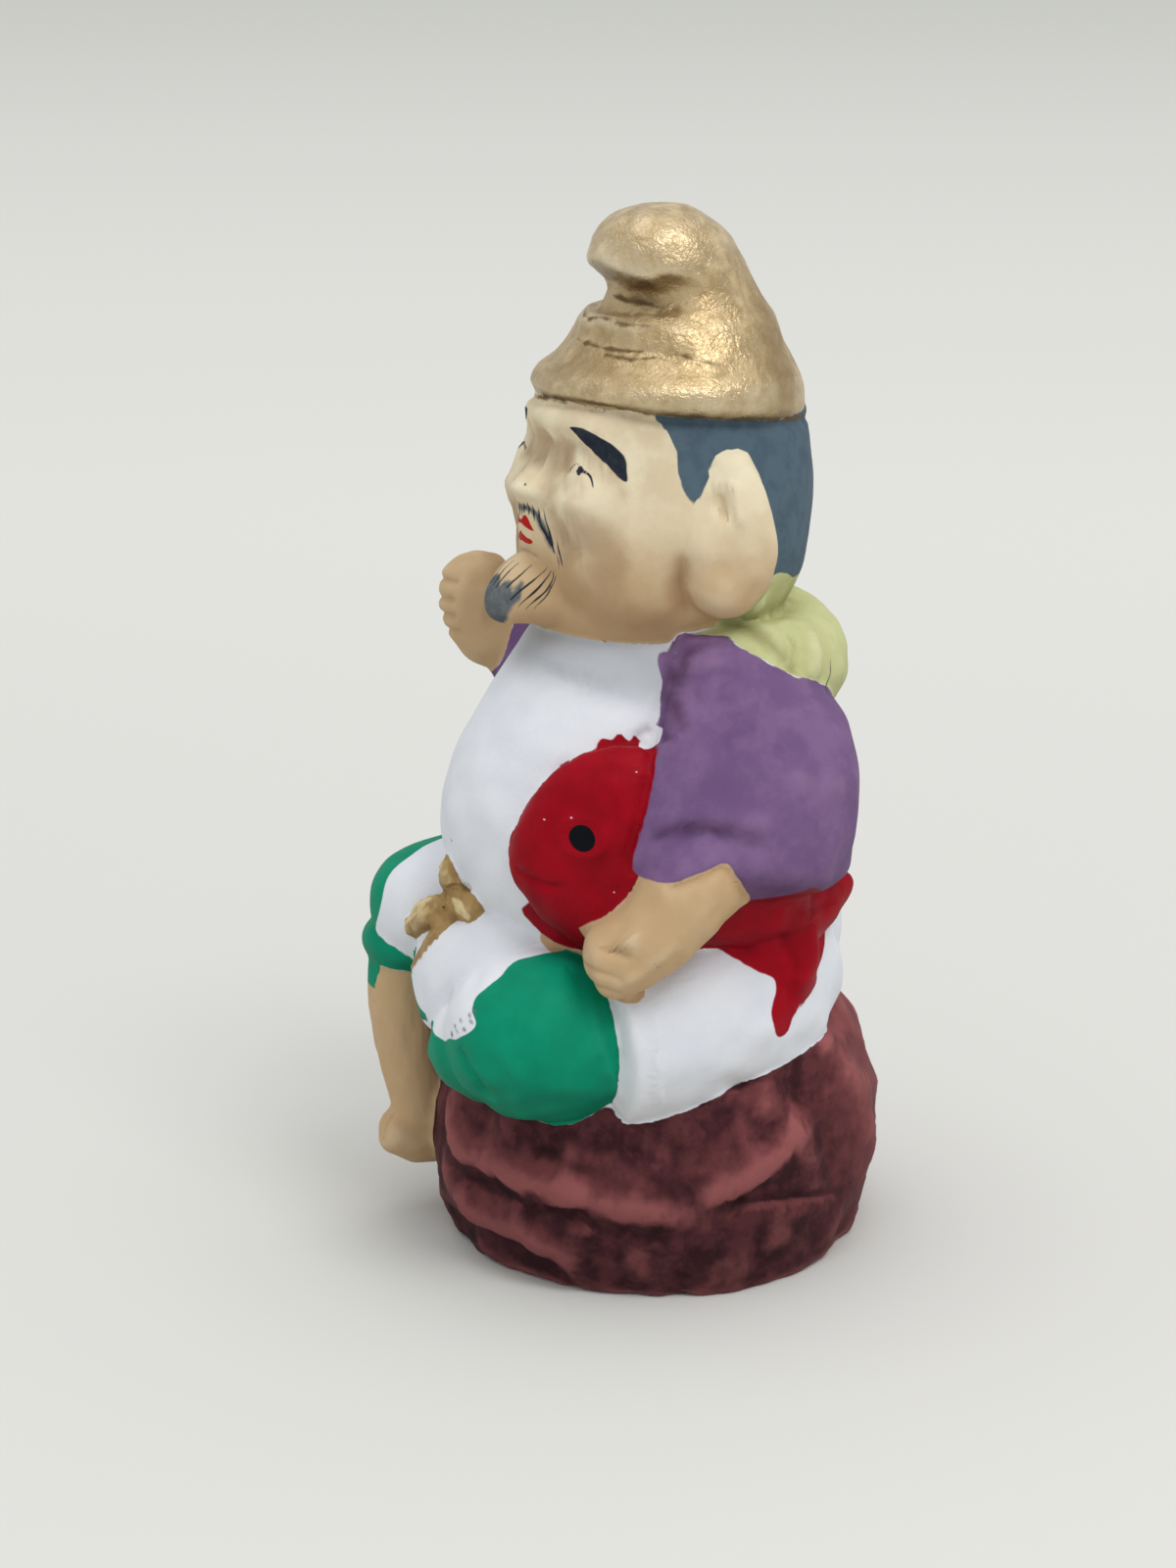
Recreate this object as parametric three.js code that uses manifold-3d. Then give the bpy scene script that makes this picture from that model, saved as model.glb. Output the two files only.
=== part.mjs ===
// A press-moulded clay doll of a seated lucky god with a sea bream under the left arm.
// Millimetres, +Z up. The figure faces -Y and its left hand side is +X.
// Figure and rock are one piece of fired clay, so every form here is joined into one closed body.

import * as THREE from "three";
import { mergeVertices } from "three/addons/utils/BufferGeometryUtils.js";
import Module from "manifold-3d";

const wasm = await Module();
wasm.setup();

// Driving dimensions, in millimetres above the ground unless a name says otherwise.
const TOP = 130;
const BRIM = 106.8;
const EYES = 100;
const CHIN = 86;
const NECK = 79;
const BELLY = 56;
const COAT_HEM = 50.4; // lower edge of the open coat, at the back
const SEAT = 34;
const ROCK_RADIUS = 27.4;
const HEAD_Y = 1.7; // centre of the head and the cap, front to back
const CAP_TILT = 0.11; // how far the brim rises for each millimetre towards the front
const CAP_LEVEL = 6; // height above the brim at which the tilt has faded out
const SLEEVE_TURN = 65; // degrees that the near sleeve's broad side is turned

// How finely the forms are faceted.
const AROUND = 26;
const MERGE = 1e-4;

const UP = new THREE.Vector3(0, 0, 1);
const radians = THREE.MathUtils.degToRad;
const vec = (p) => new THREE.Vector3(...p);
const both = (make) => [make(1), make(-1)];

/** Turns a three.js geometry into a solid that can be joined. */
function solid(geometry) {
  geometry.deleteAttribute("normal");
  geometry.deleteAttribute("uv");
  const merged = mergeVertices(geometry, MERGE);
  return new wasm.Manifold(new wasm.Mesh({
    numProp: 3,
    vertProperties: new Float32Array(merged.getAttribute("position").array),
    triVerts: new Uint32Array(merged.getIndex().array),
  }));
}

/** Puts each point of a sphere's grid at place(turn, row), with turn in radians and row from the low pole. */
function skin(around, rows, place) {
  const geometry = new THREE.SphereGeometry(1, around, rows);
  const position = geometry.getAttribute("position");
  for (let i = 0; i < position.count; i += 1) {
    const column = i % (around + 1);
    const row = rows - Math.floor(i / (around + 1));
    const turn = ((column % around) / around) * 2 * Math.PI;
    position.setXYZ(i, ...place(turn + Math.PI, row).toArray());
  }
  return solid(geometry);
}

/** Smooth value at t, from 0 to 1, through equally spaced numbers. */
function along(values, t) {
  const last = values.length - 1;
  const s = Math.min(Math.max(t, 0), 1) * last;
  const i = Math.min(Math.floor(s), last - 1);
  const f = s - i;
  const pick = (k) => values[Math.min(Math.max(k, 0), last)];
  const [a, b, c, d] = [pick(i - 1), pick(i), pick(i + 1), pick(i + 2)];
  return b + 0.5 * f * (c - a + f * (2 * a - 5 * b + 4 * c - d + f * (3 * (b - c) + d - a)));
}

/**
 * A form built of level ovals, lowest first: [z, x, y, wide, deep], wide and deep being half sizes along
 * axes turned by turned. A front above 0 crowds the columns towards the front, and shape(point, centre)
 * may move each point once more.
 */
function stack({ levels, rows, around = AROUND, turned = 0, front = 0, shape = (p) => p }) {
  const column = (k) => levels.map((level) => level[k]);
  const [z, x, y, wide, deep] = [0, 1, 2, 3, 4].map(column);
  return skin(around, rows + 2, (even, row) => {
    const t = (row - 1) / rows;
    const open = row === 0 || row === rows + 2 ? 0 : 1;
    const turn = even - front * Math.cos(even);
    const centre = new THREE.Vector3(along(x, t), along(y, t), along(z, t));
    const out = new THREE.Vector3(along(wide, t) * Math.cos(turn), along(deep, t) * Math.sin(turn), 0);
    return shape(centre.clone().addScaledVector(out.applyAxisAngle(UP, turned), open), centre);
  });
}

/** Where a row of a limb lies on its path, and how full its outline is there. */
function rowPlace(row, rows, capRows, startCap, endCap) {
  const total = rows + 2 * capRows;
  if (row < capRows) {
    const a = (Math.PI / 2) * (row / capRows);
    return { t: startCap * (1 - Math.cos(a)), fill: Math.sin(a) };
  }
  if (row > total - capRows) {
    const a = (Math.PI / 2) * ((total - row) / capRows);
    return { t: 1 - endCap * (1 - Math.cos(a)), fill: Math.sin(a) };
  }
  return { t: startCap + (1 - startCap - endCap) * ((row - capRows) / rows), fill: 1 };
}

/**
 * A limb along a smooth curve through stations [x, y, z, wide, deep], with round ends inside its length.
 * deep is measured along the flat direction at the start, wide across it.
 */
function limb({ stations, flat = [0, 0, 1], rows = 5, around = 12, round = 1, capRows = 2 }) {
  const points = stations.map(([x, y, z]) => new THREE.Vector3(x, y, z));
  const path = new THREE.CatmullRomCurve3(points, false, "centripetal");
  const wide = stations.map((s) => s[3]);
  const deep = stations.map((s) => s[4]);
  const capShare = (i) => Math.min(0.45, (round * Math.min(wide[i], deep[i])) / path.getLength());
  const [startCap, endCap] = [capShare(0), capShare(stations.length - 1)];
  const total = rows + 2 * capRows;
  const sides = [];
  for (let row = 0; row <= total; row += 1) {
    const ahead = path.getTangent(rowPlace(row, rows, capRows, startCap, endCap).t);
    const before = row === 0 ? new THREE.Vector3().crossVectors(vec(flat), ahead) : sides[row - 1];
    sides.push(before.clone().addScaledVector(ahead, -before.dot(ahead)).normalize());
  }
  return skin(around, total, (turn, row) => {
    const { t, fill } = rowPlace(row, rows, capRows, startCap, endCap);
    const over = new THREE.Vector3().crossVectors(path.getTangent(t), sides[row]);
    return path.getPoint(t)
      .addScaledVector(sides[row], along(wide, t) * fill * Math.cos(turn))
      .addScaledVector(over, along(deep, t) * fill * Math.sin(turn));
  });
}

/** An egg at a place, with half sizes along the direction ahead, across it and over it. */
function egg({ at, half, ahead = [1, 0, 0], flat = [0, 0, 1], around = 12, rows = 8 }) {
  const a = vec(ahead).normalize();
  const side = new THREE.Vector3().crossVectors(vec(flat), a).normalize();
  const over = new THREE.Vector3().crossVectors(a, side);
  return skin(around, rows, (turn, row) => {
    const polar = Math.PI * (row / rows);
    return vec(at)
      .addScaledVector(a, -half[0] * Math.cos(polar))
      .addScaledVector(side, half[1] * Math.sin(polar) * Math.cos(turn))
      .addScaledVector(over, half[2] * Math.sin(polar) * Math.sin(turn));
  });
}

/** Pushes points out from their centre along strokes { height, size, path }, each path on the surface. */
function relief(strokes) {
  const lines = strokes.map(({ height, size, path }) => ({ height, size, points: path.map(vec) }));
  const nearest = new THREE.Vector3();
  const gapTo = (p, points) => {
    let gap = p.distanceTo(points[0]);
    for (let i = 1; i < points.length; i += 1) {
      new THREE.Line3(points[i - 1], points[i]).closestPointToPoint(p, true, nearest);
      gap = Math.min(gap, p.distanceTo(nearest));
    }
    return gap;
  };
  return (p, centre) => {
    const out = p.clone().sub(centre).normalize();
    const push = lines.reduce((sum, { height, size, points }) => (
      sum + height * Math.exp(-((gapTo(p, points) / size) ** 2))
    ), 0);
    return p.addScaledVector(out, push);
  };
}

// The rock's folds: ridges above 0 and hollows below, through [degrees round, z].
const ROCK_FOLDS = [
  { height: 0.9, size: 3.2, path: [[-95, 21], [-85, 16], [-65, 13], [-43, 12], [-18, 11.4]] },
  { height: 0.5, size: 4, path: [[-18, 11.4], [-2, 15], [12, 20]] },
  { height: -1, size: 2.6, path: [[-84, 10.6], [-64, 9.4], [-41, 8.4], [-18.5, 7]] },
  { height: -0.6, size: 3.6, path: [[-9, 9], [6, 12], [18, 15]] },
  { height: 0.8, size: 2.8, path: [[-109, 9.4], [-87, 7.4], [-70, 6], [-52, 4.8]] },
  { height: -1, size: 2.2, path: [[-99, 4.4], [-76, 4], [-58, 2.6]] },
  { height: 0.6, size: 4.2, path: [[27, 33], [37, 25], [49, 15], [55, 8]] },
  { height: -0.6, size: 4, path: [[14, 26], [24, 18], [30, 8]] },
];
const BACK_TURN = 166; // degrees by which the hidden side repeats the folds

/** The rock: a squat boulder with draped looking folds. */
function rock() {
  const onRock = (turn, z) => {
    const angle = radians(turn);
    return [ROCK_RADIUS * Math.cos(angle), ROCK_RADIUS * Math.sin(angle), z];
  };
  const folds = [0, BACK_TURN].flatMap((start) => ROCK_FOLDS.map(({ height, size, path }) => (
    { height, size, path: path.map(([turn, z]) => onRock(turn + start, z)) }
  )));
  const foldOut = relief(folds);
  return [stack({
    rows: 14,
    around: 42,
    shape: (p, centre) => (p.z > 1 ? foldOut(p, centre) : p),
    levels: [
      [0, 0, -0.4, 26, 24.6],
      [1.4, 0, -0.4, 26.6, 25.6],
      [5, 0, -0.3, 27.2, 27],
      [10, 0, 0.2, 27.2, 28],
      [15, 0, 0.6, 26.8, 28.2],
      [20, 0, 0.8, 26, 27.4],
      [25, 0, 1, 24.8, 25.8],
      [30, 0, 1, 22.4, 22.8],
      [35, 0, 1, 16, 17],
    ],
  })];
}

/** The coat's back, the robe over belly and hips, both thighs, and the flap between the knees. */
function robe() {
  return [
    stack({
      rows: 8,
      around: 28,
      levels: [
        [COAT_HEM, 0, 5.4, 20.8, 17.4],
        [COAT_HEM + 1, 0, 5, 22.2, 19.2],
        [BELLY, 0, 4, 21.6, 18.8],
        [62, 0, 3.6, 20.8, 18.4],
        [68, 0, 3.6, 19.6, 17.2],
        [74, 0, 3, 17.8, 15.8],
        [NECK - 1.4, 0, 1, 12, 10.4],
      ],
    }),
    stack({
      rows: 13,
      around: 26,
      levels: [
        [24, 0, 0.5, 13, 13.5],
        [30, 0, 1, 20, 19],
        [SEAT + 3, 0, 1.3, 21.8, 22.3],
        [44, 0, 0, 22, 24],
        [50, 0, -2, 21.6, 24.7],
        [BELLY, 0, -3, 21, 24.4],
        [62, 0, -2.7, 20, 23.3],
        [68, 0, -1.7, 18.8, 21.1],
        [74, 0, -0.5, 16.6, 18.1],
        [NECK, 0, -0.8, 12.8, 14.6],
        [NECK + 3, 0, -0.8, 8, 9],
      ],
    }),
    limb({
      stations: [
        [8, 13, 39, 11, 12],
        [13.4, 3, 35.4, 12.6, 13],
        [15, -8, 32.8, 12.6, 12.4],
        [15, -16.4, 32, 12, 11.2],
      ],
      rows: 5,
      around: 18,
      round: 0.2,
    }),
    limb({
      stations: [
        [-6, -2, 40, 11, 10],
        [-11.4, -13, 41.4, 11, 9.6],
        [-15.4, -23, 40.8, 9.6, 8.4],
        [-17.4, -31.4, 39.2, 7, 6.2],
      ],
      rows: 5,
      around: 18,
      round: 0.9,
      capRows: 3,
    }),
    limb({
      stations: [
        [0, -12, 41, 13, 7],
        [-1, -21, 40.6, 12, 6.4],
        [-1.6, -26.6, 36.6, 9, 4.6],
        [0, -28, 28.6, 4, 3],
      ],
      around: 16,
      round: 0.8,
    }),
  ];
}

/** The folded near leg in its wide trouser, the hanging far leg, its cuff and bare foot. */
function legs() {
  return [
    egg({ at: [12, -20.4, 32.2], half: [12.4, 12.4, 10.8], around: 20, rows: 12 }),
    limb({
      stations: [[11, -22.5, 30.4, 9, 8.6], [4.5, -25.6, 29, 7.2, 6.8], [-1.6, -26, 28.4, 4.4, 4.2]],
      rows: 3,
      around: 14,
    }),
    egg({ at: [-17, -26.4, 36.2], half: [6.8, 6, 4], around: 14 }),
    limb({
      stations: [
        [-17, -26.4, 38, 5, 5],
        [-16.8, -27, 27, 4.8, 4.8],
        [-16, -26, 17, 4, 4],
        [-15.6, -24.4, 9, 3.6, 3.8],
      ],
      flat: [0, 1, 0],
      rows: 5,
    }),
    limb({
      stations: [[-15.2, -19, 9.6, 3.8, 3.4], [-15.8, -26, 10, 4.2, 3.8], [-16.8, -31.2, 11.4, 3.6, 2.6]],
      rows: 3,
      round: 0.9,
    }),
  ];
}

/** The sea bream: a deep body bent round the belly, and its forked tail. */
function bream() {
  const fin = (stations, flat) => limb({ stations, flat, rows: 4, around: 8 });
  return [
    limb({
      stations: [
        [10.4, -24.2, 54, 2.4, 1.8],
        [12.8, -21.8, 54.4, 7.4, 3.6],
        [15.6, -18, 55, 11.6, 4.8],
        [19.6, -11, 55.6, 13.4, 5.4],
        [22.6, -3.6, 53, 10.4, 5],
        [24, 3, 48.6, 6, 3.4],
        [23.4, 8, 46, 4, 2],
      ],
      flat: [1, -0.5, 0],
      rows: 12,
      around: 16,
    }),
    fin([[23, 4, 46.4, 4, 2], [21.8, 10.5, 46.4, 4.2, 1.9], [17.8, 18, 48.4, 1.8, 1.4]], [1, 0.5, 0]),
    fin([[23.4, 4, 46, 4, 2], [23.8, 7, 39.6, 3.6, 1.9], [23.8, 5, 31.6, 1.4, 1.3]], [1, 0.2, 0]),
  ];
}

/** Both sleeves, the near forearm under the fish and the raised far hand. */
function arms() {
  const [c, s] = [Math.cos(radians(SLEEVE_TURN)), Math.sin(radians(SLEEVE_TURN))];
  const level = (z, back, out, wide, deep) => [z, c * back + s * out, s * back - c * out, wide, deep];
  return [
    stack({
      rows: 10,
      around: 24,
      turned: radians(SLEEVE_TURN),
      levels: [
        level(49.6, 13, 14, 7, 7),
        level(51.6, 11.6, 14.6, 11.4, 12.4),
        level(55, 10.8, 15, 13, 14.8),
        level(60, 11, 14.6, 13.4, 14.6),
        level(66, 11.6, 13.6, 12.6, 13.2),
        level(72, 10.8, 12.6, 10.8, 11),
        level(77.4, 8, 12, 7.2, 8.4),
        level(80.6, 6, 12, 3.6, 5),
      ],
    }),
    limb({
      stations: [
        [18, -2, 74, 4, 3.4],
        [22, -5.4, 67, 5, 4],
        [22.8, -8.2, 61, 5.4, 4],
        [22.9, -9.6, 57.4, 5.6, 4],
        [22.7, -9.6, 54.8, 5.4, 3.8],
      ],
      flat: [1, -0.5, 0],
      rows: 4,
      around: 8,
      round: 0.3,
    }),
    limb({
      stations: [
        [19, 6, 57, 7, 7],
        [24, -3, 56, 6.6, 6.6],
        [25.4, -7.7, 53, 6.2, 6],
        [25.4, -11.4, 48.6, 5.6, 4.9],
        [24, -15.3, 45.2, 5.2, 4.4],
        [21.4, -19.2, 43, 5, 4.2],
      ],
      rows: 6,
      around: 14,
      round: 0.9,
      capRows: 3,
    }),
    limb({
      stations: [
        [-8, 3, 76, 7, 6],
        [-16, 3, 73, 8.4, 8],
        [-20.4, -1, 70.8, 8, 7.6],
        [-22.2, -6.4, 71, 6.6, 6.4],
        [-22.6, -11, 72, 5, 5.2],
      ],
      around: 16,
      round: 0.35,
    }),
    limb({
      stations: [
        [-22, -6, 73, 4.6, 4.6],
        [-25.4, -10.8, 73.4, 5, 4.6],
        [-27, -12, 77, 5, 5.8],
        [-27, -11.8, 83.4, 4.6, 5.2],
      ],
      flat: [0, 1, 0],
      around: 14,
      round: 0.8,
      capRows: 3,
    }),
  ];
}

/** The thick collar behind the neck. */
function collar() {
  const half = [[14, -5, 77.4, 3.6, 3.4], [16, 6, 75.8, 5.6, 5.4], [11, 14.4, 74.4, 5.8, 6.6]];
  const mirrored = half.map(([x, ...rest]) => [-x, ...rest]).reverse();
  return [limb({ stations: [...half, [0, 17.6, 74.6, 5.9, 7], ...mirrored], rows: 11, around: 12 })];
}

/** Head with its cheeks, eye sockets, nose and chin, the tuft of beard and the long ears. */
function head() {
  const bump = (x, y, z, height, size) => ({ height, size, path: [[x, y, z]] });
  const features = [
    ...[1, -1].flatMap((s) => [
      bump(8 * s, -14, 96, 3, 4.4),
      bump(6.6 * s, -15, EYES + 1.2, -0.8, 2.4),
      bump(7 * s, -14, EYES + 5, 0.6, 3.4),
      bump(11 * s, -11, CHIN + 1, 0.9, 6),
    ]),
    { height: 0.8, size: 2.6, path: [[-8, -12.6, EYES + 4.6], [0, -15.4, EYES + 5], [8, -12.6, EYES + 4.6]] },
    bump(0, -15.6, EYES + 1, -0.8, 2),
    bump(0, -15.8, EYES - 3.8, 3.8, 2.7),
    bump(0, -16.6, EYES - 8, 2, 3.4),
    bump(0, -17, CHIN + 0.6, 1.2, 3.6),
  ];
  return [
    stack({
      rows: 21,
      around: 32,
      front: 0.45,
      shape: relief(features),
      levels: [
        [75.2, 0, HEAD_Y - 1, 6, 6],
        [76.8, 0, HEAD_Y - 1.6, 10.2, 11.4],
        [79.4, 0, HEAD_Y - 1.6, 13.2, 14.6],
        [CHIN - 3.4, 0, HEAD_Y - 1.4, 15.4, 16.5],
        [CHIN, 0, HEAD_Y - 0.8, 16.7, 17.4],
        [CHIN + 3.4, 0, HEAD_Y - 0.4, 17.4, 17.6],
        [CHIN + 6.6, 0, HEAD_Y, 17.5, 17.5],
        [EYES - 3.8, 0, HEAD_Y + 0.4, 17.1, 17.4],
        [EYES - 0.8, 0, HEAD_Y + 0.4, 16.6, 17.3],
        [EYES + 3, 0, HEAD_Y + 0.3, 15.8, 17],
        [BRIM, 0, HEAD_Y, 15, 16.5],
        [BRIM + 4, 0, HEAD_Y, 13, 14],
      ],
    }),
    limb({
      stations: [[0, -12, 84.6, 8, 5.6], [0, -17, 84, 5.2, 4], [0, -22.4, 82.2, 2.2, 1.7]],
      rows: 2,
    }),
    ...both((s) => limb({
      stations: [
        [15 * s, 1.7, 102.6, 2.4, 1.7],
        [16.6 * s, 1.9, 97, 4.3, 2.2],
        [17.2 * s, 1.3, 90, 5.8, 2.8],
        [15.8 * s, 0.2, 81.2, 5.2, 3.2],
      ],
      flat: [s, -0.25, 0],
      rows: 6,
      around: 14,
    })),
  ];
}

/** The soft cap: a brim band, and a leaning crown whose tip hangs forward over a hollow. */
function cap() {
  const fold = (z, size, height) => ({
    height,
    size,
    path: [-100, -60, -25, 10].map((turn) => {
      const angle = radians(turn);
      return [15 * Math.cos(angle), HEAD_Y + 14.6 * Math.sin(angle), z];
    }),
  });
  const folded = relief([fold(BRIM + 6.6, 1.4, -0.3), fold(BRIM + 8.4, 1.2, 0.3)]);
  const tilted = (p) => {
    const share = Math.min(Math.max((BRIM + CAP_LEVEL - p.z) / CAP_LEVEL, 0), 1);
    return p.setZ(p.z - CAP_TILT * share * (p.y - HEAD_Y));
  };
  const crown = stack({
    rows: 16,
    around: 26,
    shape: (p, centre) => tilted(folded(p, centre)),
    levels: [
      [BRIM - 0.4, 0, HEAD_Y - 0.3, 16, 15.8],
      [BRIM + 0.6, 0, HEAD_Y - 0.3, 16.8, 16.6],
      [BRIM + 3, 0, HEAD_Y, 16.6, 15.9],
      [BRIM + 5, 0, HEAD_Y + 0.5, 15.2, 14.2],
      [BRIM + 7.6, 0, HEAD_Y + 0.9, 13.2, 12.7],
      [BRIM + 9.8, 0, HEAD_Y + 1.2, 11.9, 11.8],
      [TOP - 11.7, 0, HEAD_Y + 1.7, 10.4, 10.1],
      [TOP - 9, 0, HEAD_Y + 0.9, 9.5, 9.3],
      [TOP - 6, 0, HEAD_Y - 0.6, 9, 9.2],
      [TOP - 3.4, 0, HEAD_Y - 1.2, 7.8, 8],
      [TOP - 1.2, 0, HEAD_Y - 1.6, 5.4, 5.6],
      [TOP, 0, HEAD_Y - 0.8, 2.4, 2.4],
    ],
  });
  const half = [
    [10.6, 2.6, TOP - 9, 1, 1],
    [9.6, -2.4, TOP - 9.4, 3, 2.4],
    [5, -7.4, TOP - 10.6, 2.6, 2.2],
  ];
  const mirrored = half.map(([x, ...rest]) => [-x, ...rest]).reverse();
  const hollow = limb({
    stations: [...half, [0, -9, TOP - 11.6, 1.8, 1.5], ...mirrored],
    flat: [0, 1, 0.3],
    rows: 8,
    around: 8,
  });
  return [crown.subtract(hollow)];
}

/** The bow of the robe's cord at the foot of the belly: knot, two loops and a tail. */
function bow() {
  const cord = (stations) => limb({ stations, flat: [0.2, 1, 0.2], rows: 2, around: 6 });
  return [
    egg({ at: [1, -25.6, 45.8], half: [2.7, 1.9, 2.4], around: 8, rows: 5 }),
    cord([[0.6, -26, 46.4, 1.2, 1], [-1.6, -27, 48.6, 1.9, 1.1], [-3, -26.4, 51.2, 1.2, 0.8]]),
    cord([[0, -26.6, 46.2, 1.3, 1], [-4, -29, 44, 1.9, 1.2], [-9, -29.8, 40, 1.3, 0.9]]),
    cord([[-0.6, -27, 44.8, 1, 0.8], [-2.2, -29.8, 40.4, 0.9, 0.7], [-5, -30.9, 36, 0.7, 0.6]]),
  ];
}

const forms = [rock, robe, legs, bream, arms, collar, head, cap, bow].flatMap((make) => make());
const mesh = forms.reduce((sum, form) => sum.add(form)).getMesh();

const geometry = new THREE.BufferGeometry();
geometry.setAttribute("position", new THREE.BufferAttribute(new Float32Array(mesh.vertProperties), 3));
geometry.setIndex(new THREE.BufferAttribute(new Uint32Array(mesh.triVerts), 1));

// The origin is the middle of the box, on the ground.
geometry.computeBoundingBox();
const middle = geometry.boundingBox.getCenter(new THREE.Vector3());
geometry.translate(-middle.x, -middle.y, 0);
geometry.computeVertexNormals();

const clay = new THREE.MeshStandardMaterial({ color: 0xd8d4cc, roughness: 0.8, metalness: 0 });
const doll = new THREE.Mesh(geometry, clay);
doll.name = "ebisu_doll";

const root = new THREE.Group();
root.add(doll);

export default root;
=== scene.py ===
"""A press-moulded and painted clay doll: a seated lucky god with a sea bream under the left arm, on a rock.

Sizes are millimetres in the doll's own frame, +Z up, with the figure facing -Y and its left hand side on +X.
Figure and rock are one piece of clay, so every form is fused into one skin, sculpted and then painted.
"""
import logging
import math
from dataclasses import dataclass
from enum import Enum
from typing import Sequence

import bpy
import numpy as np
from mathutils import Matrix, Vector
from mathutils.bvhtree import BVHTree
from numpy.typing import NDArray


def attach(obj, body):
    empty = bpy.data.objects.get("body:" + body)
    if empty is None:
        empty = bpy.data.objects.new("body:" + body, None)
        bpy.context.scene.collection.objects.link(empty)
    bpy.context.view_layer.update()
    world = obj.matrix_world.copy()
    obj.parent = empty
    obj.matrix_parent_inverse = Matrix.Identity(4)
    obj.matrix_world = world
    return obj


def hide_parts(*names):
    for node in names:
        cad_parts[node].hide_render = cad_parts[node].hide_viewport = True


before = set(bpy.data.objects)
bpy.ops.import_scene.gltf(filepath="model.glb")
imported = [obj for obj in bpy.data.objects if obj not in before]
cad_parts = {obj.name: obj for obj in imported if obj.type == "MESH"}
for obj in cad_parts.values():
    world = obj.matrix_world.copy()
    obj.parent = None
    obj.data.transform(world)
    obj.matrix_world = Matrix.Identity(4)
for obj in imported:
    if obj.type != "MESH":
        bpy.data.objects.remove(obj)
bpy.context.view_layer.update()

LOG = logging.getLogger("doll")

Array = NDArray[np.float64]
Station = tuple[float, float, float, float, float]
Point = tuple[float, float, float]
Spot = tuple[float, float]
Colour = tuple[float, float, float]

MM = 0.001
NODE = "ebisu_doll"

# Heights shared by the forms.
TOP = 130.0
BRIM = 106.8
EYES = 100.0
CHIN = 86.0
NECK = 79.0
BELLY = 56.0
COAT_HEM = 50.4
SEAT = 34.0
HEAD_Y = 1.7

# The middle of the doll's box, which the shared frame has at its origin.
MIDDLE = (0.173, -1.718)


class Zone(Enum):
    """The parts of the surface that are painted or shaped apart."""

    ROCK = "rock"
    ROBE = "robe"
    COAT = "coat"
    COLLAR = "collar"
    HEAD = "head"
    EAR = "ear"
    CAP = "cap"
    FISH = "fish"
    HAND = "hand"
    LEG = "leg"
    TROUSER = "trouser"
    BOW = "bow"


def along(values: Array, t: Array) -> Array:
    """Gives smooth values through equally spaced rows of numbers.

    Args:
        values: The rows, lowest first.
        t: Where to read, from 0 at the first row to 1 at the last.

    Returns:
        One row for each t.
    """
    values = np.asarray(values, float)
    last = len(values) - 1
    s = np.clip(t, 0.0, 1.0) * last
    i = np.minimum(np.floor(s).astype(int), last - 1)
    f = s - i
    if values.ndim > 1:
        f = f[:, None]
    a, b, c, d = (values[np.clip(i + k, 0, last)] for k in (-1, 0, 1, 2))
    return b + 0.5 * f * (c - a + f * (2 * a - 5 * b + 4 * c - d + f * (3 * (b - c) + d - a)))


def unit(v: Array) -> Array:
    """Returns vectors scaled to length 1."""
    v = np.asarray(v, float)
    return v / np.maximum(np.linalg.norm(v, axis=-1, keepdims=True), 1e-9)


class Path:
    """A smooth centripetal curve through points."""

    STEP = 1e-4

    def __init__(self, points: Sequence[Sequence[float]]) -> None:
        """Keeps the points, with one more beyond each end."""
        p = np.asarray(points, float)
        self.points = np.vstack([2 * p[0] - p[1], p, 2 * p[-1] - p[-2]])
        self.spans = len(p) - 1

    def at(self, t: Array) -> Array:
        """Returns the curve's points at t, from 0 to 1."""
        s = np.clip(np.asarray(t, float), 0.0, 1.0) * self.spans
        i = np.minimum(np.floor(s).astype(int), self.spans - 1)
        w = (s - i)[:, None]
        p0, p1, p2, p3 = (self.points[i + k] for k in range(4))
        gap = [np.maximum(np.linalg.norm(b - a, axis=1, keepdims=True) ** 0.5, 1e-4)
               for a, b in ((p0, p1), (p1, p2), (p2, p3))]
        m1 = ((p1 - p0) / gap[0] - (p2 - p0) / (gap[0] + gap[1]) + (p2 - p1) / gap[1]) * gap[1]
        m2 = ((p2 - p1) / gap[1] - (p3 - p1) / (gap[1] + gap[2]) + (p3 - p2) / gap[2]) * gap[1]
        return (p1 + m1 * w + (3 * (p2 - p1) - 2 * m1 - m2) * w ** 2
                + (2 * (p1 - p2) + m1 + m2) * w ** 3)

    def ahead(self, t: Array) -> Array:
        """Returns the curve's directions at t."""
        t = np.asarray(t, float)
        return unit(self.at(np.minimum(t + self.STEP, 1.0)) - self.at(np.maximum(t - self.STEP, 0.0)))

    def length(self) -> float:
        """Returns the curve's length."""
        p = self.at(np.linspace(0.0, 1.0, 201))
        return float(np.linalg.norm(np.diff(p, axis=0), axis=1).sum())


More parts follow.
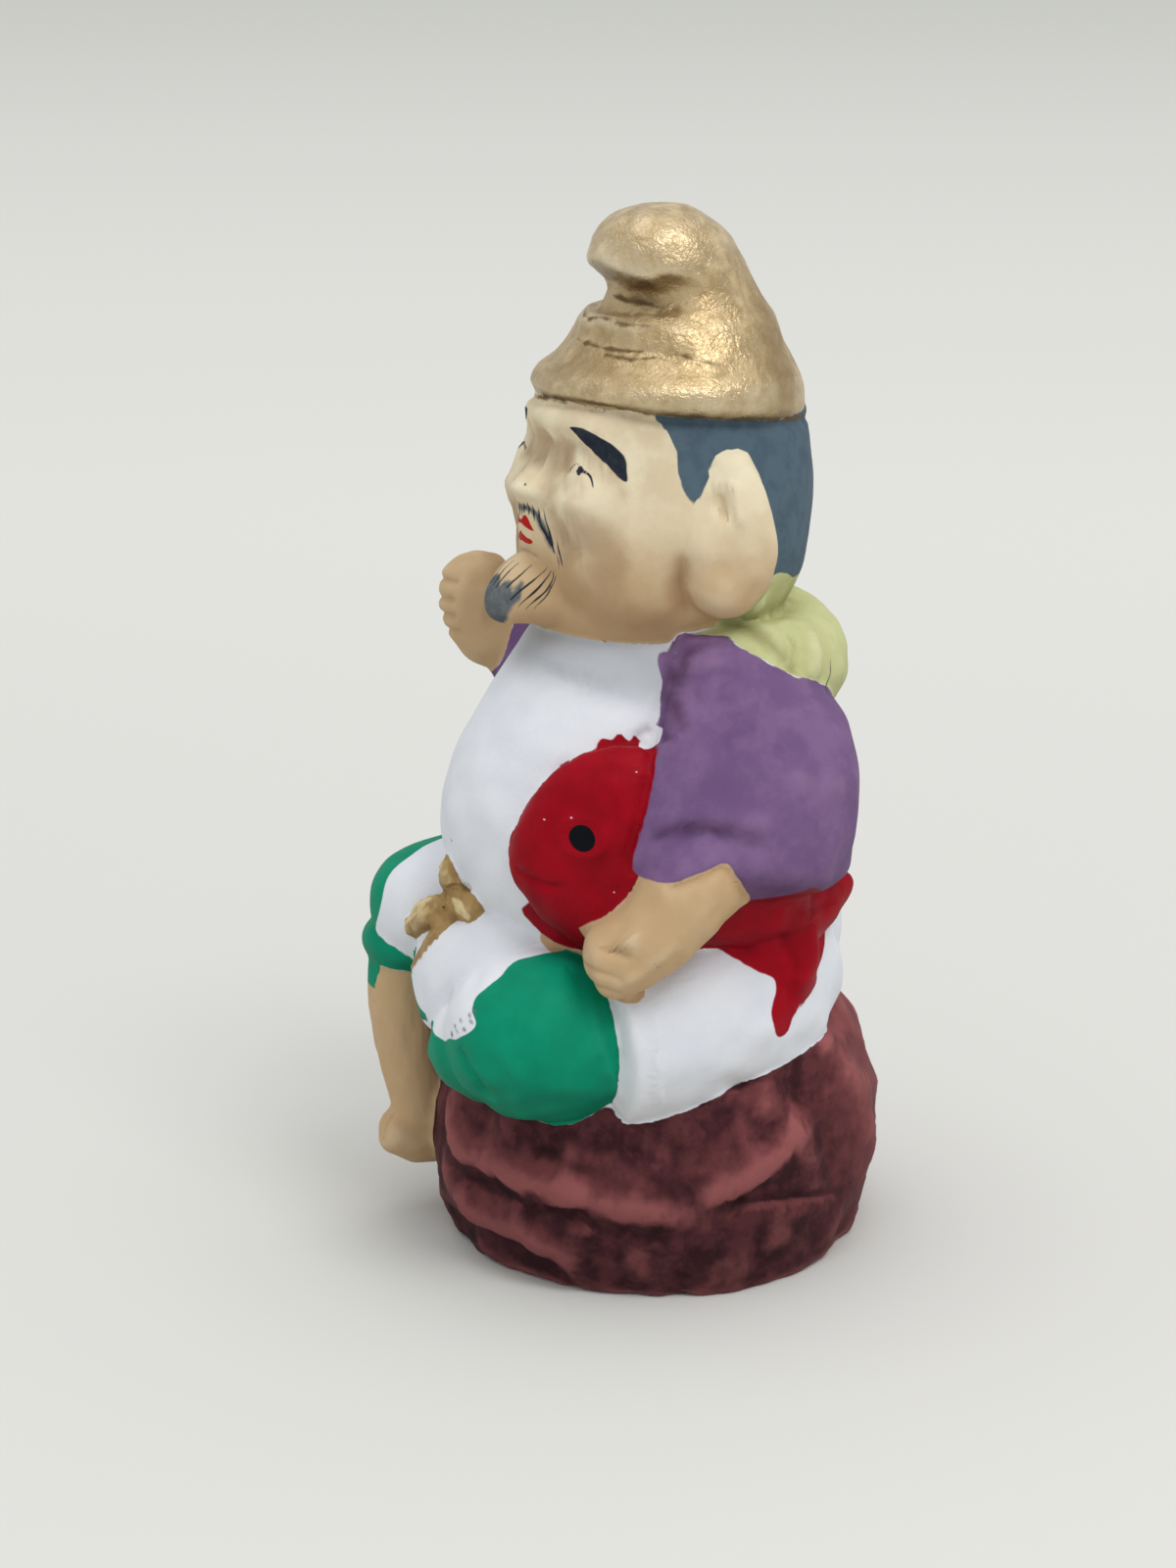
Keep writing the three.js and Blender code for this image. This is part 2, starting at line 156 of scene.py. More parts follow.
class Form:
    """One closed clay form before it is fused: a sphere whose grid is moved to the form's surface."""

    def __init__(self, zone: Zone, around: int = 72, rows: int = 64) -> None:
        """Keeps the zone and how finely the form is made.

        Args:
            zone: The part of the doll that the form belongs to.
            around: Points round the form.
            rows: Rows of faces from one pole to the other.
        """
        self.zone = zone
        self.around = around
        self.rows = rows

    def place(self, turn: Array, row: Array) -> Array:
        """Returns the points at turns, in radians, and rows, counted from the low pole."""
        raise NotImplementedError

    def add(self) -> bpy.types.Object:
        """Adds the form to the scene.

        Returns:
            The new object, its points in millimetres.
        """
        bpy.ops.object.select_all(action="DESELECT")
        bpy.ops.mesh.primitive_uv_sphere_add(segments=self.around, ring_count=self.rows, radius=1.0)
        piece = bpy.context.object
        mesh = piece.data
        ball = np.empty(len(mesh.vertices) * 3)
        mesh.vertices.foreach_get("co", ball)
        ball = ball.reshape(-1, 3)
        row = np.rint(np.arccos(np.clip(-ball[:, 2], -1.0, 1.0)) / math.pi * self.rows)
        turn = np.arctan2(ball[:, 1], ball[:, 0])
        mesh.vertices.foreach_set("co", self.place(turn, row).ravel())
        bpy.ops.object.mode_set(mode="EDIT")
        bpy.ops.mesh.select_all(action="SELECT")
        bpy.ops.mesh.normals_make_consistent(inside=False)
        bpy.ops.object.mode_set(mode="OBJECT")
        return piece


class Stack(Form):
    """A form built of level ovals, lowest first: (z, x, y, wide, deep)."""

    def __init__(self, zone: Zone, levels: Sequence[Station], turned: float = 0.0, tilt: float = 0.0,
                 level_at: float = 1.0, **fineness: int) -> None:
        """Keeps the levels.

        Args:
            zone: The part of the doll that the form belongs to.
            levels: The ovals, with half sizes along axes turned by turned.
            turned: Degrees that the ovals' axes are turned.
            tilt: How far the lowest oval rises for each millimetre towards the front.
            level_at: The height over the lowest oval at which the tilt has faded out.
            fineness: The around and rows of Form.
        """
        super().__init__(zone, **fineness)
        self.levels = np.asarray(levels, float)
        self.turned = math.radians(turned)
        self.tilt = tilt
        self.level_at = level_at

    def place(self, turn: Array, row: Array) -> Array:
        """Returns the points at turns, in radians, and rows, counted from the low pole."""
        z, x, y, wide, deep = along(self.levels, (row - 1) / (self.rows - 2)).T
        inside = (row > 0) & (row < self.rows)
        u, v = wide * np.cos(turn) * inside, deep * np.sin(turn) * inside
        c, s = math.cos(self.turned), math.sin(self.turned)
        across, back = x + u * c - v * s, y + u * s + v * c
        share = np.clip((self.levels[0, 0] + self.level_at - z) / self.level_at, 0.0, 1.0)
        return np.stack([across, back, z - self.tilt * share * (back - self.levels[0, 2])], 1)


class Limb(Form):
    """A limb along a smooth curve through stations (x, y, z, wide, deep), with round ends inside its length."""

    CAP_ROWS = 12

    def __init__(self, zone: Zone, stations: Sequence[Station], flat: Point = (0.0, 0.0, 1.0),
                 round_end: float = 1.0, **fineness: int) -> None:
        """Keeps the stations.

        Args:
            zone: The part of the doll that the form belongs to.
            stations: The points of the curve, each with its half sizes.
            flat: The direction that deep is measured along at the start.
            round_end: How long the round ends are, as a share of the half sizes there.
            fineness: The around and rows of Form.
        """
        super().__init__(zone, **fineness)
        self.stations = np.asarray(stations, float)
        self.path = Path(self.stations[:, :3])
        self.flat = np.asarray(flat, float)
        length = self.path.length()
        self.caps = [min(0.45, round_end * float(self.stations[k, 3:].min()) / length) for k in (0, -1)]

    def share(self, row: Array) -> tuple[Array, Array]:
        """Returns where rows lie on the path and how full the outline is there."""
        start, end = self.caps
        caps = self.CAP_ROWS
        body = self.rows - 2 * caps
        low = np.clip(row / caps, 0.0, 1.0) * math.pi / 2
        high = np.clip((self.rows - row) / caps, 0.0, 1.0) * math.pi / 2
        t = start + (1 - start - end) * (row - caps) / body
        t = np.where(row < caps, start * (1 - np.cos(low)), t)
        t = np.where(row > self.rows - caps, 1 - end * (1 - np.cos(high)), t)
        fill = np.where(row < caps, np.sin(low), np.where(row > self.rows - caps, np.sin(high), 1.0))
        return t, fill

    def place(self, turn: Array, row: Array) -> Array:
        """Returns the points at turns, in radians, and rows, counted from the low pole."""
        every = np.arange(self.rows + 1, dtype=float)
        steps, _ = self.share(every)
        ahead = self.path.ahead(steps)
        sides = np.empty_like(ahead)
        before = np.cross(self.flat, ahead[0])
        for k, way in enumerate(ahead):
            before = unit(before - way * (before @ way))
            sides[k] = before
        k = row.astype(int)
        t, fill = self.share(row)
        over = np.cross(ahead[k], sides[k])
        wide, deep = along(self.stations[:, 3:], t).T
        return (self.path.at(t) + sides[k] * (wide * fill * np.cos(turn))[:, None]
                + over * (deep * fill * np.sin(turn))[:, None])


class Egg(Form):
    """An egg at a place, with half sizes along the direction ahead, across it and over it."""

    def __init__(self, zone: Zone, at: Point, half: Point, ahead: Point = (1.0, 0.0, 0.0),
                 flat: Point = (0.0, 0.0, 1.0), **fineness: int) -> None:
        """Keeps the egg's place and half sizes."""
        super().__init__(zone, **fineness)
        self.at = np.asarray(at, float)
        self.half = half
        self.ahead = unit(ahead)
        self.across = unit(np.cross(flat, self.ahead))

    def place(self, turn: Array, row: Array) -> Array:
        """Returns the points at turns, in radians, and rows, counted from the low pole."""
        polar = math.pi * row / self.rows
        over = np.cross(self.ahead, self.across)
        return (self.at - self.ahead * (self.half[0] * np.cos(polar))[:, None]
                + self.across * (self.half[1] * np.sin(polar) * np.cos(turn))[:, None]
                + over * (self.half[2] * np.sin(polar) * np.sin(turn))[:, None])


def rounded(path: Sequence[Spot], steps: int = 8) -> Array:
    """Returns a closed smooth outline through points."""
    curve = Path([(*spot, 0.0) for spot in (path[-1], *path, path[0], path[1])])
    spans = len(path) + 2
    return curve.at(np.linspace(1 / spans, (spans - 1) / spans, steps * len(path), endpoint=False))[:, :2]


def depth_inside(outline: Array, spots: Array) -> Array:
    """Returns how deep spots lie inside a closed outline, below 0 outside it."""
    nearest = np.full(len(spots), np.inf)
    crossings = np.zeros(len(spots), dtype=int)
    x, y = spots.T
    for a, b in zip(outline, np.roll(outline, -1, axis=0)):
        way = b - a
        t = np.clip((spots - a) @ way / max(float(way @ way), 1e-12), 0.0, 1.0)
        nearest = np.minimum(nearest, np.linalg.norm(spots - a - t[:, None] * way, axis=1))
        if a[1] != b[1]:
            level = (a[1] > y) != (b[1] > y)
            crossings += level & (x < a[0] + (y - a[1]) * way[0] / way[1])
    return np.where(crossings % 2 == 1, nearest, -nearest)


class Unevenness:
    """A smooth random field in space: the sum of waves in random directions."""

    WAVES = 28

    def __init__(self, size: float, seed: int) -> None:
        """Draws the waves.

        Args:
            size: The usual distance between two bumps, in millimetres.
            seed: The start of the random draws.
        """
        draw = np.random.default_rng(seed)
        ways = unit(draw.normal(size=(self.WAVES, 3)))
        self.ways = ways * (2 * math.pi / (size * draw.uniform(0.7, 1.6, self.WAVES)))[:, None]
        self.starts = draw.uniform(0, 2 * math.pi, self.WAVES)

    def at(self, points: Array) -> Array:
        """Returns the field at points, about -1 to 1."""
        return np.sin(points @ self.ways.T + self.starts).sum(1) / math.sqrt(self.WAVES)


@dataclass(frozen=True)
class Stroke:
    """A push or a groove of the modelling tool along a line on the surface."""

    path: Sequence[Spot]
    height: float
    size: float
    side: "View"
    fade: float = 0.2
    both: bool = False


@dataclass(frozen=True)
class Mark:
    """A stroke of the paint brush along a line on the surface, with its half widths from end to end."""

    path: Sequence[Spot]
    widths: Sequence[float]
    paint: str
    side: "View"
    both: bool = False


@dataclass(frozen=True)
class Patch:
    """An area of paint inside a closed outline on the surface, or with away, an area kept free of it."""

    path: Sequence[Spot]
    paint: str
    side: "View"
    both: bool = False
    away: bool = False
    crisp: bool = True
    spread: float = 0.0


class View(Enum):
    """From where a line is laid on the surface, and what its two numbers are."""

    FRONT = "x and z, seen from the front"
    BACK = "x and z, seen from behind"
    LEFT = "y and z, seen from the doll's left"
    RIGHT = "y and z, seen from the doll's right"
    ROUND = "degrees round the upright axis and z, seen from outside"
    TOP = "x and y, seen from above"

    def aim(self, spots: Array, mirrored: bool = False) -> tuple[Array, Array]:
        """Finds where rays towards the surface start and which way they go.

        Args:
            spots: The line's points in this view.
            mirrored: Whether the line is laid on the other side of the doll.

        Returns:
            The starts and the directions.
        """
        far = 200.0
        a, b = spots[:, 0], spots[:, 1]
        zero, one = np.zeros_like(a), np.ones_like(a)
        turn = np.radians(a)
        starts, ways = {
            View.FRONT: ((a, -far * one, b), (zero, one, zero)),
            View.BACK: ((a, far * one, b), (zero, -one, zero)),
            View.LEFT: ((far * one, a, b), (-one, zero, zero)),
            View.RIGHT: ((-far * one, a, b), (one, zero, zero)),
            View.ROUND: ((far * np.cos(turn), far * np.sin(turn), b), (-np.cos(turn), -np.sin(turn), zero)),
            View.TOP: ((a, b, far * one), (zero, zero, -one)),
        }[self]
        start, way = np.stack(starts, 1), np.stack(ways, 1)
        if mirrored:
            start[:, 0] *= -1
            way[:, 0] *= -1
        return start, way

    def flat(self, points: Array, normals: Array, mirrored: bool = False) -> tuple[Array, Array]:
        """Finds the surface's points in this view.

        Args:
            points: The surface's points.
            normals: Its outward directions there.
            mirrored: Whether the view is taken from the doll's other side.

        Returns:
            Their two numbers in the view, and how far they face the viewer, from -1 to 1.
        """
        flip = np.array([-1.0 if mirrored else 1.0, 1.0, 1.0])
        (x, y, z), (nx, ny, nz) = (points * flip).T, (normals * flip).T
        if self is View.ROUND:
            reach = np.maximum(np.hypot(x, y), 1e-6)
            return np.stack([np.degrees(np.arctan2(y, x)), z], 1), (nx * x + ny * y) / reach
        return {
            View.FRONT: (np.stack([x, z], 1), -ny),
            View.BACK: (np.stack([x, z], 1), ny),
            View.LEFT: (np.stack([y, z], 1), np.where(x > 0, nx, -1.0)),
            View.RIGHT: (np.stack([y, z], 1), np.where(x < 0, -nx, -1.0)),
            View.TOP: (np.stack([x, y], 1), nz),
        }[self]


class Part:
    """A sub-assembly of the doll."""

    def forms(self) -> list[Form]:
        """Returns the closed forms that are fused into the doll."""
        return []

    def strokes(self) -> list[Stroke]:
        """Returns the strokes of the modelling tool."""
        return []

    def marks(self) -> list[Mark | Patch]:
        """Returns the strokes and patches of the paint brush."""
        return []


@dataclass(frozen=True)
class Rock(Part):
    """The squat boulder that the figure sits on, with folds pressed into it."""

    levels: Sequence[Station] = (
        (0.0, 0.0, -0.4, 26.0, 24.6),
        (1.4, 0.0, -0.4, 26.6, 25.6),
        (5.0, 0.0, -0.3, 27.2, 27.0),
        (10.0, 0.0, 0.2, 27.2, 28.0),
        (15.0, 0.0, 0.6, 26.8, 28.2),
        (20.0, 0.0, 0.8, 26.0, 27.4),
        (25.0, 0.0, 1.0, 24.8, 25.8),
        (30.0, 0.0, 1.0, 22.4, 22.8),
        (35.0, 0.0, 1.0, 16.0, 17.0),
    )
    folds: Sequence[tuple[float, float, Sequence[Spot]]] = (
        (1.1, 1.9, ((-104, 21.0), (-97, 18.6), (-84, 14.4), (-76, 14.4), (-60, 14.0), (-47, 13.4), (-35, 11.8),
                    (-26, 11.2), (-17, 11.0), (-10, 11.6))),
        (0.9, 2.0, ((-13, 10.9), (-10, 12.6), (1, 15.3), (16, 18.3), (24, 20.6))),
        (-0.8, 1.2, ((-8, 10.6), (-5, 11.2), (7, 14.0), (14, 16.4), (22, 18.6))),
        (-0.9, 1.4, ((-92, 13.2), (-80, 11.8), (-66, 11.2), (-50, 10.8), (-38, 9.6), (-28, 8.8), (-18, 8.6))),
        (-0.7, 0.8, ((-15, 11.4), (-2, 11.6), (7, 11.4), (20, 10.4), (30, 9.2), (42, 8.0))),
        (1.0, 1.8, ((-104, 12.6), (-96, 11.2), (-90, 9.4), (-82, 7.9), (-68, 7.0), (-54, 5.7), (-46, 3.4))),
        (-1.0, 1.4, ((-104, 4.6), (-96, 3.9), (-77, 4.3), (-63, 3.7), (-48, 2.0))),
        (0.6, 1.0, ((-43, 13.0), (-51, 12.0), (-60, 10.7), (-63, 8.4), (-60, 7.0))),
        (0.5, 0.9, ((-42, 11.3), (-41, 9.0), (-48, 7.4))),
        (0.8, 2.6, ((26, 35), (37, 25.5), (49, 15.4), (57, 8))),
        (-0.8, 2.2, ((14, 27), (24, 19), (30, 12), (33, 6))),
        (0.5, 1.6, ((9, 28.2), (21, 28.0), (31, 28.1), (39, 28.8))),
        (-0.6, 1.4, ((-9, 28.4), (1, 24.7), (-4, 21.8))),
        (-0.6, 2.2, ((-60, 17.4), (-52, 17.8))),
        (-0.5, 2.0, ((-44, 18.8), (-28, 19.4))),
    )
    back_turn: float = 166.0

    def forms(self) -> list[Form]:
        """Returns the boulder."""
        return [Stack(Zone.ROCK, self.levels, around=128, rows=64)]

    def strokes(self) -> list[Stroke]:
        """Returns the folds, and the same folds again round the back."""
        return [Stroke([(turn + start, z) for turn, z in path], height, size, View.ROUND)
                for start in (0.0, self.back_turn) for height, size, path in self.folds]


@dataclass(frozen=True)
class Robe(Part):
    """The robe over belly and hips, the open coat's back, both thighs and the flap between the knees."""

    belly: Sequence[Station] = (
        (24.0, 0.0, 0.5, 13.0, 13.5),
        (30.0, 0.0, 1.0, 20.0, 19.0),
        (SEAT + 3.0, 0.0, 1.3, 21.8, 22.3),
        (44.0, 0.0, 0.0, 22.0, 24.0),
        (50.0, 0.0, -2.0, 21.6, 24.7),
        (BELLY, 0.0, -3.0, 21.0, 24.4),
        (62.0, 0.0, -2.7, 20.0, 23.3),
        (68.0, 0.0, -1.7, 18.8, 21.1),
        (74.0, 0.0, -0.5, 16.6, 18.1),
        (NECK, 0.0, -0.8, 12.8, 14.6),
        (NECK + 3.0, 0.0, -0.8, 8.0, 9.0),
    )
    coat_back: Sequence[Station] = (
        (COAT_HEM, 0.0, 5.4, 20.8, 17.4),
        (COAT_HEM + 1.0, 0.0, 5.0, 22.2, 19.2),
        (BELLY, 0.0, 4.0, 21.6, 18.8),
        (62.0, 0.0, 3.6, 20.8, 18.4),
        (68.0, 0.0, 3.6, 19.6, 17.2),
        (74.0, 0.0, 3.0, 17.8, 15.8),
        (NECK - 1.4, 0.0, 1.0, 12.0, 10.4),
    )
    near_thigh: Sequence[Station] = (
        (8.0, 13.0, 39.0, 11.0, 12.0),
        (13.4, 3.0, 35.4, 12.6, 13.0),
        (15.0, -8.0, 32.8, 12.6, 12.4),
        (15.0, -16.4, 32.0, 12.0, 11.2),
    )
    far_thigh: Sequence[Station] = (
        (-6.0, -2.0, 40.0, 11.0, 10.0),
        (-11.4, -13.0, 41.4, 11.0, 9.6),
        (-15.4, -23.0, 40.8, 9.6, 8.4),
        (-17.4, -31.4, 39.2, 7.0, 6.2),
    )
    flap: Sequence[Station] = (
        (0.0, -12.0, 41.0, 13.0, 7.0),
        (-1.0, -21.0, 40.6, 12.0, 6.4),
        (-1.6, -26.6, 36.6, 9.0, 4.6),
        (0.0, -28.0, 28.6, 4.0, 3.0),
    )

    def forms(self) -> list[Form]:
        """Returns belly, coat back, thighs and flap."""
        return [
            Stack(Zone.ROBE, self.belly, around=112, rows=88),
            Stack(Zone.COAT, self.coat_back, around=96, rows=64),
            Limb(Zone.ROBE, self.near_thigh, round_end=0.2),
            Limb(Zone.ROBE, self.far_thigh, round_end=0.9),
            Limb(Zone.ROBE, self.flap, round_end=0.8),
        ]

    def strokes(self) -> list[Stroke]:
        """Returns the folds of robe and skirt."""
        side, face = View.LEFT, View.FRONT
        return [
            Stroke([(3.0, 75.6), (8.0, 74.9), (12.0, 74.2), (15.6, 72.7)], -0.35, 1.0, face),
            Stroke([(2.0, 77.0), (8.0, 76.3), (13.0, 75.0)], 0.3, 1.0, face),
            Stroke([(5.0, 67.4), (11.6, 66.9), (17.0, 67.8)], 0.3, 1.1, face),
            Stroke([(-12.0, 38.9), (-12.6, 37.0), (-12.9, 33.1), (-12.4, 28.8), (-11.2, 25.2)], 0.4, 0.6, side),
            Stroke([(-2.9, 40.4), (0.4, 37.8), (1.4, 34.4)], -0.6, 1.6, side),
            Stroke([(-18.6, 39.4), (-19.0, 36.8), (-18.7, 33.7), (-16.6, 28.3), (-14.8, 24.2)], 0.55, 1.0, side),
            Stroke([(-2.0, 45.0), (-5.0, 41.5), (-6.0, 38.0)], 0.4, 1.4, face),
            Stroke([(5.0, 44.0), (3.0, 40.0), (1.6, 36.0)], -0.4, 1.4, face),
        ]

    def marks(self) -> list[Mark | Patch]:
        """Returns the painted shadow of the head on the chest below the chin."""
        return [Mark([(-12.0, 76.4), (-4.0, 78.2), (5.0, 78.4), (12.0, 77.0), (15.4, 75.6)], (4.0, 4.4, 4.4, 4.2, 3.4),
                     "shade", View.FRONT)]


@dataclass(frozen=True)
class Legs(Part):
    """The folded near leg in its wide trouser, the hanging far leg, its cuff and bare foot."""

    knee_at: Point = (12.0, -20.4, 32.2)
    knee_half: Point = (12.4, 12.4, 10.8)
    gather: Sequence[Station] = (
        (11.0, -22.5, 30.4, 9.0, 8.6),
        (4.5, -25.6, 29.0, 7.2, 6.8),
        (-1.6, -26.0, 28.4, 4.4, 4.2),
    )
    cuff_at: Point = (-17.0, -26.4, 36.2)
    cuff_half: Point = (6.8, 6.0, 4.0)
    calf: Sequence[Station] = (
        (-17.0, -26.4, 38.0, 5.0, 5.0),
        (-16.8, -27.0, 27.0, 4.8, 4.8),
        (-16.0, -26.0, 17.0, 4.0, 4.0),
        (-15.6, -24.4, 9.0, 3.6, 3.8),
    )
    foot: Sequence[Station] = (
        (-15.2, -19.0, 9.6, 3.8, 3.4),
        (-15.8, -26.0, 10.0, 4.2, 3.8),
        (-16.8, -31.2, 11.4, 3.6, 2.6),
    )

    def forms(self) -> list[Form]:
        """Returns knee, gathers, cuff, calf and foot."""
        return [
            Egg(Zone.TROUSER, self.knee_at, self.knee_half, around=96, rows=64),
            Limb(Zone.TROUSER, self.gather),
            Egg(Zone.TROUSER, self.cuff_at, self.cuff_half),
            Limb(Zone.LEG, self.calf, flat=(0.0, 1.0, 0.0)),
            Limb(Zone.LEG, self.foot, round_end=0.9),
        ]

    def strokes(self) -> list[Stroke]:
        """Returns the trouser's gathers and the toes."""
        side, face = View.LEFT, View.FRONT
        toes = [Stroke([(x, 13.6), (x, 11.4), (x, 9.6)], -0.35, 0.45, face, fade=0.1)
                for x in (-18.6, -17.4, -16.2, -15.0)]
        return [
            Stroke([(-32.6, 32.6), (-32.0, 29.8), (-29.6, 26.2)], -0.6, 0.8, side),
            Stroke([(-31.0, 34.4), (-28.6, 31.6), (-27.4, 28.0)], 0.3, 1.2, side),
            Stroke([(-2.6, 31.0), (-0.4, 29.6), (2.6, 29.0)], -0.5, 0.8, face),
            Stroke([(-2.4, 28.6), (0.6, 27.0), (4.0, 26.6)], -0.4, 0.8, face),
            *toes,
        ]

    far_hem: Sequence[Spot] = (
        (-12.9, 33.1), (-12.6, 37.0), (-12.0, 42.0), (-11.0, 46.0), (-9.6, 52.0))

    def marks(self) -> list[Mark | Patch]:
        """Returns the far trouser where it shows beyond the skirt's hem, and the specks on the near knee."""
        return [Patch([(-15.6, 51.0), (-14.6, 47.7), (-14.0, 45.0), (-13.6, 42.6), (-14.4, 40.4), (-16.2, 38.2),
                       (-24.0, 34.0), (-30.0, 44.0), (-22.0, 52.0)], "trouser", View.FRONT, crisp=False),
                Patch([(-12.4, 30.0), *self.far_hem, (-16.0, 54.0), (-34.0, 52.0), (-40.0, 40.0), (-36.0, 32.0),
                       (-20.0, 30.0)], "trouser", View.RIGHT, crisp=False),
                Patch([(-15.6, 51.0), (-14.6, 47.7), (-14.0, 45.0), (-13.6, 42.6), (-14.4, 40.4), (-15.6, 38.6),
                       (-8.0, 38.0), (-1.0, 44.0), (-1.0, 54.0), (-14.0, 54.0)], "trouser", View.FRONT, away=True,
                      crisp=False),
                Patch([(-12.4, 26.0), *self.far_hem, (30.0, 54.0), (30.0, 26.0)], "trouser", View.RIGHT, away=True),
                Patch([(7.7, 31.4), (10.6, 32.6), (13.4, 33.6), (15.9, 35.9), (14.2, 37.6), (13.7, 38.6), (14.1, 40.2),
                       (13.2, 42.2), (13.9, 43.1), (10.0, 47.0), (-4.0, 45.0), (-4.4, 33.4), (1.0, 32.0)],
                      "trouser", View.FRONT, away=True),
                *(Mark([(x, z), (x + 0.4, z - 0.2)], (0.08, 0.16, 0.06), "wash", View.FRONT)
                  for x, z in ((13.2, 35.9), (14.3, 36.8), (15.0, 36.2), (14.3, 35.1), (13.0, 34.5), (14.7, 37.4),
                               (12.2, 34.9), (11.4, 33.7)))]


@dataclass(frozen=True)
class Bream(Part):
    """The sea bream: a deep body bent round the belly, and its forked tail."""

    body: Sequence[Station] = (
        (10.4, -24.2, 54.0, 2.4, 1.8),
        (12.8, -21.8, 54.4, 7.4, 3.6),
        (15.6, -18.0, 55.0, 11.6, 4.8),
        (19.6, -11.0, 55.6, 13.4, 5.4),
        (22.6, -3.6, 53.0, 10.4, 5.0),
        (24.0, 3.0, 48.6, 6.0, 3.4),
        (23.4, 8.0, 46.0, 4.0, 2.0),
    )
    upper_fin: Sequence[Station] = (
        (23.0, 4.0, 46.4, 4.0, 2.0),
        (21.8, 10.5, 46.4, 4.2, 1.9),
        (17.8, 18.0, 48.4, 1.8, 1.4),
    )
    lower_fin: Sequence[Station] = (
        (23.4, 4.0, 46.0, 4.0, 2.0),
        (23.8, 7.0, 39.6, 3.6, 1.9),
        (23.8, 5.0, 31.6, 1.4, 1.3),
    )

    def forms(self) -> list[Form]:
        """Returns body and tail."""
        return [
            Limb(Zone.FISH, self.body, flat=(1.0, -0.5, 0.0)),
            Limb(Zone.FISH, self.upper_fin, flat=(1.0, 0.5, 0.0)),
            Limb(Zone.FISH, self.lower_fin, flat=(1.0, 0.2, 0.0)),
        ]

    def strokes(self) -> list[Stroke]:
        """Returns the mouth, the gill, the ring of the eye and the rays of the tail."""
        side = View.LEFT
        return [
            Stroke([(-24.9, 53.9), (-23.7, 53.0), (-22.1, 52.5), (-21.0, 52.7)], -0.35, 0.5, side),
            Stroke([(-16.4, 65.4), (-16.2, 61.6), (-16.4, 58.0), (-17.6, 55.0), (-19.2, 51.6)], -0.25, 0.8, side),
            Stroke([(math.cos(a) * 2.2 - 19.4, math.sin(a) * 2.2 + 58.9) for a in np.linspace(0.0, 6.28, 13)],
                   0.16, 0.45, side, fade=0.0),
            Stroke([(4.0, 49.0), (9.0, 47.6), (14.0, 47.2)], -0.25, 0.6, side),
            Stroke([(3.4, 46.0), (6.0, 42.0), (5.4, 36.0)], -0.25, 0.6, side),
            Stroke([(8.6, 46.4), (9.2, 43.2), (7.6, 39.6)], 1.0, 1.8, side, fade=0.0),
        ]

    def marks(self) -> list[Mark | Patch]:
        """Returns the fish's round eye and the ragged edge of its back fin."""
        side = View.LEFT
        eye = [(math.cos(a) * 1.25 - 19.4, math.sin(a) * 1.6 + 58.9) for a in np.linspace(0.0, 5.8, 14)]
        specks = [Mark([(y, z), (y - 0.1, z + 0.05)], (0.07, 0.08, 0.06), "chip", side)
                  for y, z in ((-20.2, 61.2), (-22.6, 60.6), (-13.0, 66.6), (-16.2, 52.4))]
        return [
            Patch(eye, "eye", side),
            Patch([(10.4, 47.5), (11.0, 45.2), (12.3, 44.0), (14.6, 43.2), (17.6, 42.8), (20.0, 43.4), (20.6, 46.0),
                   (18.0, 49.0), (13.0, 49.4)], "fish", View.FRONT, crisp=False),
            Patch([(-8.0, 66.0), (-8.8, 68.4), (-9.8, 68.7), (-10.7, 69.6), (-11.4, 68.9), (-12.3, 69.7), (-13.1, 69.0),
                   (-14.2, 69.1), (-15.1, 68.0), (-16.9, 66.9), (-18.9, 65.6), (-17.0, 62.0), (-12.0, 62.0)],
                  "fish", side),
            Patch([(-6.8, 46.1), (-4.2, 49.0), (-1.4, 51.2), (1.6, 51.9), (5.8, 52.4), (10.8, 49.3), (13.6, 49.0),
                   (15.5, 48.4), (15.6, 46.5), (14.4, 43.6), (12.8, 40.4), (10.3, 38.4), (8.0, 36.2), (6.7, 34.6),
                   (5.6, 32.4), (4.2, 32.2), (3.2, 34.1), (3.0, 35.7), (3.9, 39.4), (1.4, 40.9), (-2.6, 43.6)],
                  "fish", side),
            *specks,
        ]


